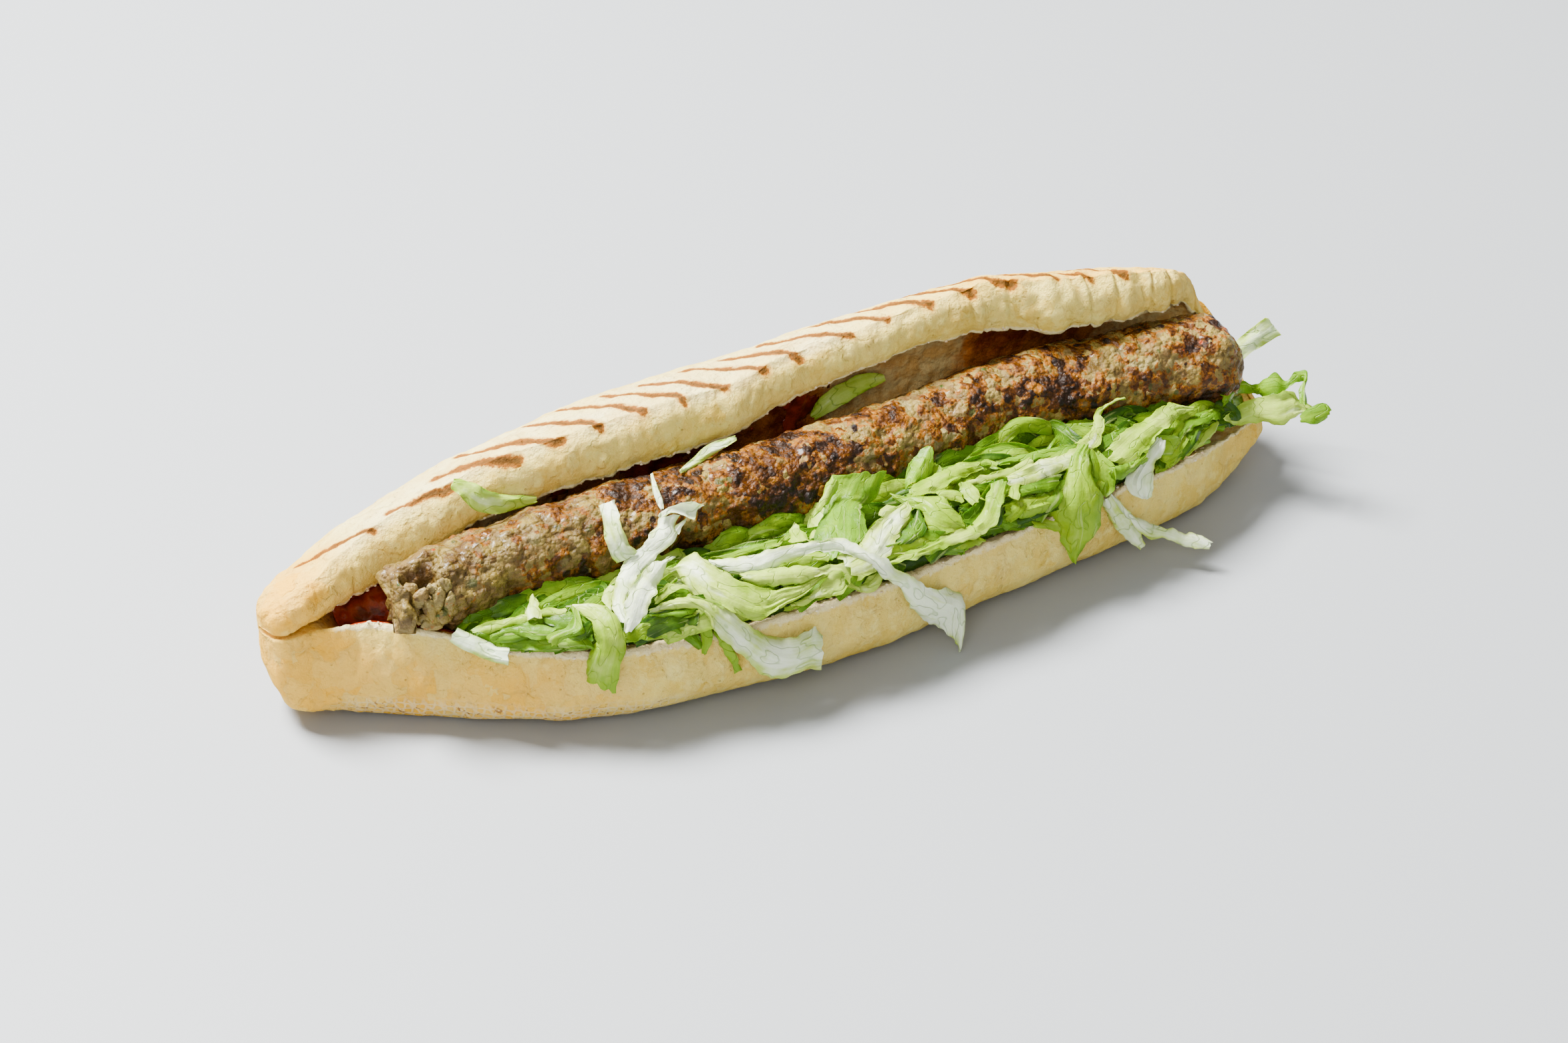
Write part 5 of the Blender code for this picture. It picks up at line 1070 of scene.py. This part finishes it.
def filling_shreds():
    """Small shreds that cover the bed."""
    dice = random.Random(7)
    made = []
    for n in range(FILL_SHREDS):
        x = dice.uniform(BED_LEFT + 0.003, BED_RIGHT - 0.004)
        near, far = along(LIP_Y, x) + 0.0004, along(KEBAB_AXIS_Y, x) - 0.006
        share = dice.random()
        y = mix(near, far, share)
        z = along(BED_TOP, x) + dice.uniform(-0.0052, -0.0018) - 0.002 * (1 - share)
        turn = math.radians(dice.gauss(8, 22))
        if dice.random() < 0.12:
            turn += math.radians(60)
        length = dice.uniform(0.014, 0.034)
        width = dice.uniform(0.003, 0.0065)
        rise = dice.uniform(0.0006, 0.003)
        bend = dice.uniform(-0.003, 0.003)
        points = []
        for t in (-0.5, -0.25, 0, 0.25, 0.5):
            aside = bend * (1 - 4 * t * t)
            px = x + math.cos(turn) * t * length - math.sin(turn) * aside
            py = y + math.sin(turn) * t * length + math.cos(turn) * aside
            px = min(max(px, BED_LEFT), BED_RIGHT)
            py = min(max(py, along(LIP_Y, px) - 0.0002), along(KEBAB_AXIS_Y, px) - 0.004)
            pz = z + rise * (1 - 4 * t * t) - 0.002 * (abs(t) * 2) ** 3
            px, py, pz = clear_of_meat((px, py, pz))
            points.append((px, py, max(pz, along(LIP_Z, px) + 0.0008), width * (1 - 0.3 * (abs(t) * 2) ** 2)))
        if x < -0.055:
            green = dice.uniform(0.5, 0.95)
        elif x < 0.004:
            green = dice.choice((dice.uniform(0.16, 0.36), dice.uniform(0.55, 0.8), dice.uniform(0.75, 1.0)))
        else:
            green = dice.choice((dice.uniform(0.4, 0.7), dice.uniform(0.8, 1.0)))
        made.append(leaf_ribbon(points, 200 + n * 0.73, green, 0.0005, 7, 0.0014, 0.0008))
    return made


def shaded_bed_part():
    """The packed inside of the heap, under the shreds, at the darkest leaf colour: painted shade in the gaps."""
    stations, sides = 150, 36
    low = FLOOR_Z + 0.0002
    grid = np.zeros((stations, sides, 3))
    _, c, s = circle(sides)
    for k in range(stations):
        x = mix(BED_LEFT + 0.0015, BED_RIGHT - 0.0015, k / (stations - 1))
        near, far = along(LIP_Y, x) + 0.0022, along(KEBAB_AXIS_Y, x) - 0.002
        end = min(1.0, 4 * k / stations + 0.3, 4 * (stations - 1 - k) / stations + 0.3)
        y = mix(near, far, 0.5 + 0.5 * end * np.sign(c) * np.abs(c) ** 0.8)
        z = mix(low, along(BED_TOP, x) - BED_DROP, 0.5 + 0.5 * end * np.sign(s) * np.abs(s) ** 0.8)
        grid[k] = [clear_of_meat((x, *spot)) for spot in zip(y, z)]
    grid[:, :, 2] = np.maximum(grid[:, :, 2], low)
    flat = grid.reshape(-1, 3)
    flat = flat - grid_normals(grid) * (0.0007 * np.abs(rough(flat, 0.0035, 2.0)))[:, None]
    verts, faces = tube(flat.reshape(grid.shape), flip=True)
    # leaf_green past 1 holds the bed at the darkest stop, as painted shade
    extra = {"leaf_u": 20 * rough(verts, 0.009, 8.0), "leaf_v": rough(verts, 0.004, 4.0),
             "leaf_w": 10 * rough(verts, 0.006, 9.0), "leaf_green": 1.25 + 0.25 * rough(verts, 0.006, 5.0),
             "leaf_seed": np.zeros(len(verts))}
    return verts, faces, extra


def build_sauce(grid, kinds, parts):
    """A glossy film of sauce on the roof and back of the mouth, and in its closed left end."""
    flat, out = grid.reshape(-1, 3), grid_normals(grid)
    x = flat[:, 0]
    blot = rough(flat, 0.0075, 41.0) + 0.45 * rough(flat, 0.0026, 43.0)
    roof = np.where(kinds == 2, ramp(parts, 1.02, 0.6), np.where(kinds == 1, ramp(parts, 0.62, 0.8), 0))
    band = ramp(x, -0.062, -0.046) * ramp(x, 0.024, 0.012)
    left = np.where(kinds == 1, ramp(parts, 0.06, 0.16), np.where(kinds == 2, ramp(parts, 0.97, 0.86), 0))
    left = left * ramp(x, -0.115, -0.111) * ramp(x, -0.084, -0.092)
    cover = np.maximum(roof * band * (0.1 + blot * 1.2), left * (0.75 + 0.5 * blot))
    height = 0.0011 * np.clip(cover, 0, 0.9)
    around = grid.shape[1]
    thick = (height > 0.00004).reshape(grid.shape[:2])
    keep = thick[:-1, :-1] & thick[1:, :-1] & thick[1:, 1:] & thick[:-1, 1:]
    # Two squares that meet at a corner alone would leave an edge with four faces
    while True:
        a, b, c, d = keep[:-1, :-1], keep[:-1, 1:], keep[1:, :-1], keep[1:, 1:]
        pinched = (a & d & ~b & ~c) | (b & c & ~a & ~d)
        if not pinched.any():
            break
        keep[1:, 1:] &= ~pinched
        keep[1:, :-1] &= ~pinched
    index, faces, edges = {}, [], {}
    for i, j in np.argwhere(keep).tolist():
        corners = [i * around + j, (i + 1) * around + j, (i + 1) * around + j + 1, i * around + j + 1]
        quad = [index.setdefault(n, len(index)) for n in corners]
        faces.append(quad)
        edges.update(dict.fromkeys(zip(quad, quad[1:] + quad[:1])))
    used, n = list(index), len(index)
    walls = [[b, a, n + a, n + b] for a, b in edges if (b, a) not in edges]
    verts = np.vstack([flat[used] + out[used] * height[used, None], flat[used] - out[used] * 0.0004])
    return make_object("sauce_film", verts, faces + [[n + v for v in f[::-1]] for f in faces] + walls)


def build_crumbs(grid):
    """Loose crumbs along the cut edges of the roll."""
    dice = random.Random(3)
    parts = []
    for n in range(LOOSE_CRUMBS):
        i = dice.randrange(45, STATIONS - 40)
        ring = sum(COUNTS[:3]) if dice.random() < 0.5 else COUNTS[0]
        spot = grid[i, ring + dice.randrange(-1, 3)]
        size = dice.uniform(0.00018, 0.0005)
        shift = np.array([dice.uniform(-1, 1) * 0.0003, -0.0001, 0.0001])
        parts.append(blob(spot + shift, np.array([size, size * 0.8, size * 0.7]), 7.0 * n, 1))
    return make_object("loose_crumbs", *gather(parts), smooth=False)


def keep_in_box(made):
    """Draws what comes near the CAD part's box, or leaves it, back inside, without folding it flat."""
    points = made.data.vertices
    spots = np.empty(len(points) * 3, np.float32)
    points.foreach_get("co", spots)
    spots = spots.reshape(-1, 3).astype(float)
    for axis, side in ((0, 1), (0, -1), (1, 1), (1, -1), (2, 1)):
        wall = cad_box[max(side, 0)][axis]
        room = (wall - spots[:, axis]) * side
        kept = np.where(room < BOX_MARGIN, BOX_MARGIN * np.exp(np.minimum(room / BOX_MARGIN - 1, 0)), room)
        spots[:, axis] = wall - side * kept
    spots[:, 2] = np.maximum(spots[:, 2], 0)
    points.foreach_set("co", spots.astype(np.float32).ravel())
    made.data.update()


def finish_piece(made, finish, slot, *nodes):
    keep_in_box(made)
    made.data.materials.append(finish)
    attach(made, "root")
    if nodes:
        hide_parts(*nodes)


def build_food():
    meat_look, leaf_look = meat_material(), leaf_material()
    bread, grid, kinds, parts = build_bread()
    finish_piece(bread, bread_material(), "crust", "bread")
    finish_piece(build_kebab(), meat_look, "meat", "kebab")
    finish_piece(build_flakes(), meat_look, "meat")
    sheets = [leaf_sheet(*sheet, number) for number, sheet in enumerate(SHEETS)]
    finish_piece(leaves_object("lettuce_sheets", sheets), leaf_look, "lettuce", "lettuce")
    finish_piece(leaves_object("lettuce_fill_and_shaded_bed", filling_shreds() + [shaded_bed_part()]), leaf_look, "lettuce")
    for number, (name, green, width, points) in enumerate(LONE_SHREDS, 60):
        shred = leaf_ribbon(np.reshape(points, (-1, 4)) / 10000 * (1, 1, 1, width), number, green)
        finish_piece(leaves_object("shred_" + name, [shred]), leaf_look, "lettuce", name)
    sauce = plain_material("sauce", (0.3, 0.035, 0.01), 0.14, 0.004, 3, (0.35, 0.65),
                           ((0.34, 0.03, 0.003), (0.11, 0.009, 0.002)), (0.002, 3, 0.00018),
                           **soft(0.25, (0.003, 0.0008, 0.0004)))
    finish_piece(build_sauce(grid, kinds, parts), sauce, "meat")
    crumbs = plain_material("bread_crumbs", (0.8, 0.68, 0.48), 0.85, 0.002, 2, (0.35, 0.65),
                            ((0.84, 0.74, 0.55), (0.66, 0.48, 0.27)), (0.0005, 3, 0.0001))
    finish_piece(build_crumbs(grid), crumbs, "crust")


def look_from(made, spot, aim):
    made.location = spot
    made.rotation_euler = (Vector(aim) - Vector(spot)).to_track_quat("-Z", "Y").to_euler()


def area_light(name, spot, size, power, colour):
    light = bpy.data.lights.new(name, "AREA")
    light.shape = "RECTANGLE"
    light.size, light.size_y = size
    light.energy = power
    light.color = colour
    look_from(link(name, light), spot, LIGHTS_AIM)


def build_studio():
    lens = bpy.data.cameras.new("camera")
    lens.lens = 85
    lens.sensor_width = 36
    lens.clip_start = 0.01
    camera = link("camera", lens)
    look_from(camera, CAMERA_AT, LOOKS_AT)
    bpy.context.scene.camera = camera

    floor = make_object("floor", [(-6, -6, 0), (6, -6, 0), (6, 6, 0), (-6, 6, 0)], [[0, 1, 2, 3]])
    floor.data.materials.append(plain_material("floor", (0.34, 0.36, 0.38), 0.5, 0.5, 1, None,
                                               ((0.33, 0.35, 0.37), (0.35, 0.37, 0.39))))

    area_light("key", (-0.5, 0.58, 1.22), (0.5, 0.5), 150, (1.0, 0.985, 0.955))
    area_light("front", (-0.75, -1.1, 0.9), (1.2, 1.0), 12, (1.0, 0.99, 0.97))
    world = bpy.data.worlds.new("studio")
    world.use_nodes = True
    colour, strength = world.node_tree.nodes["Background"].inputs[:2]
    colour.default_value = (1.0, 0.985, 0.955, 1)
    strength.default_value = 0.52
    bpy.context.scene.world = world


build_studio()
build_food()
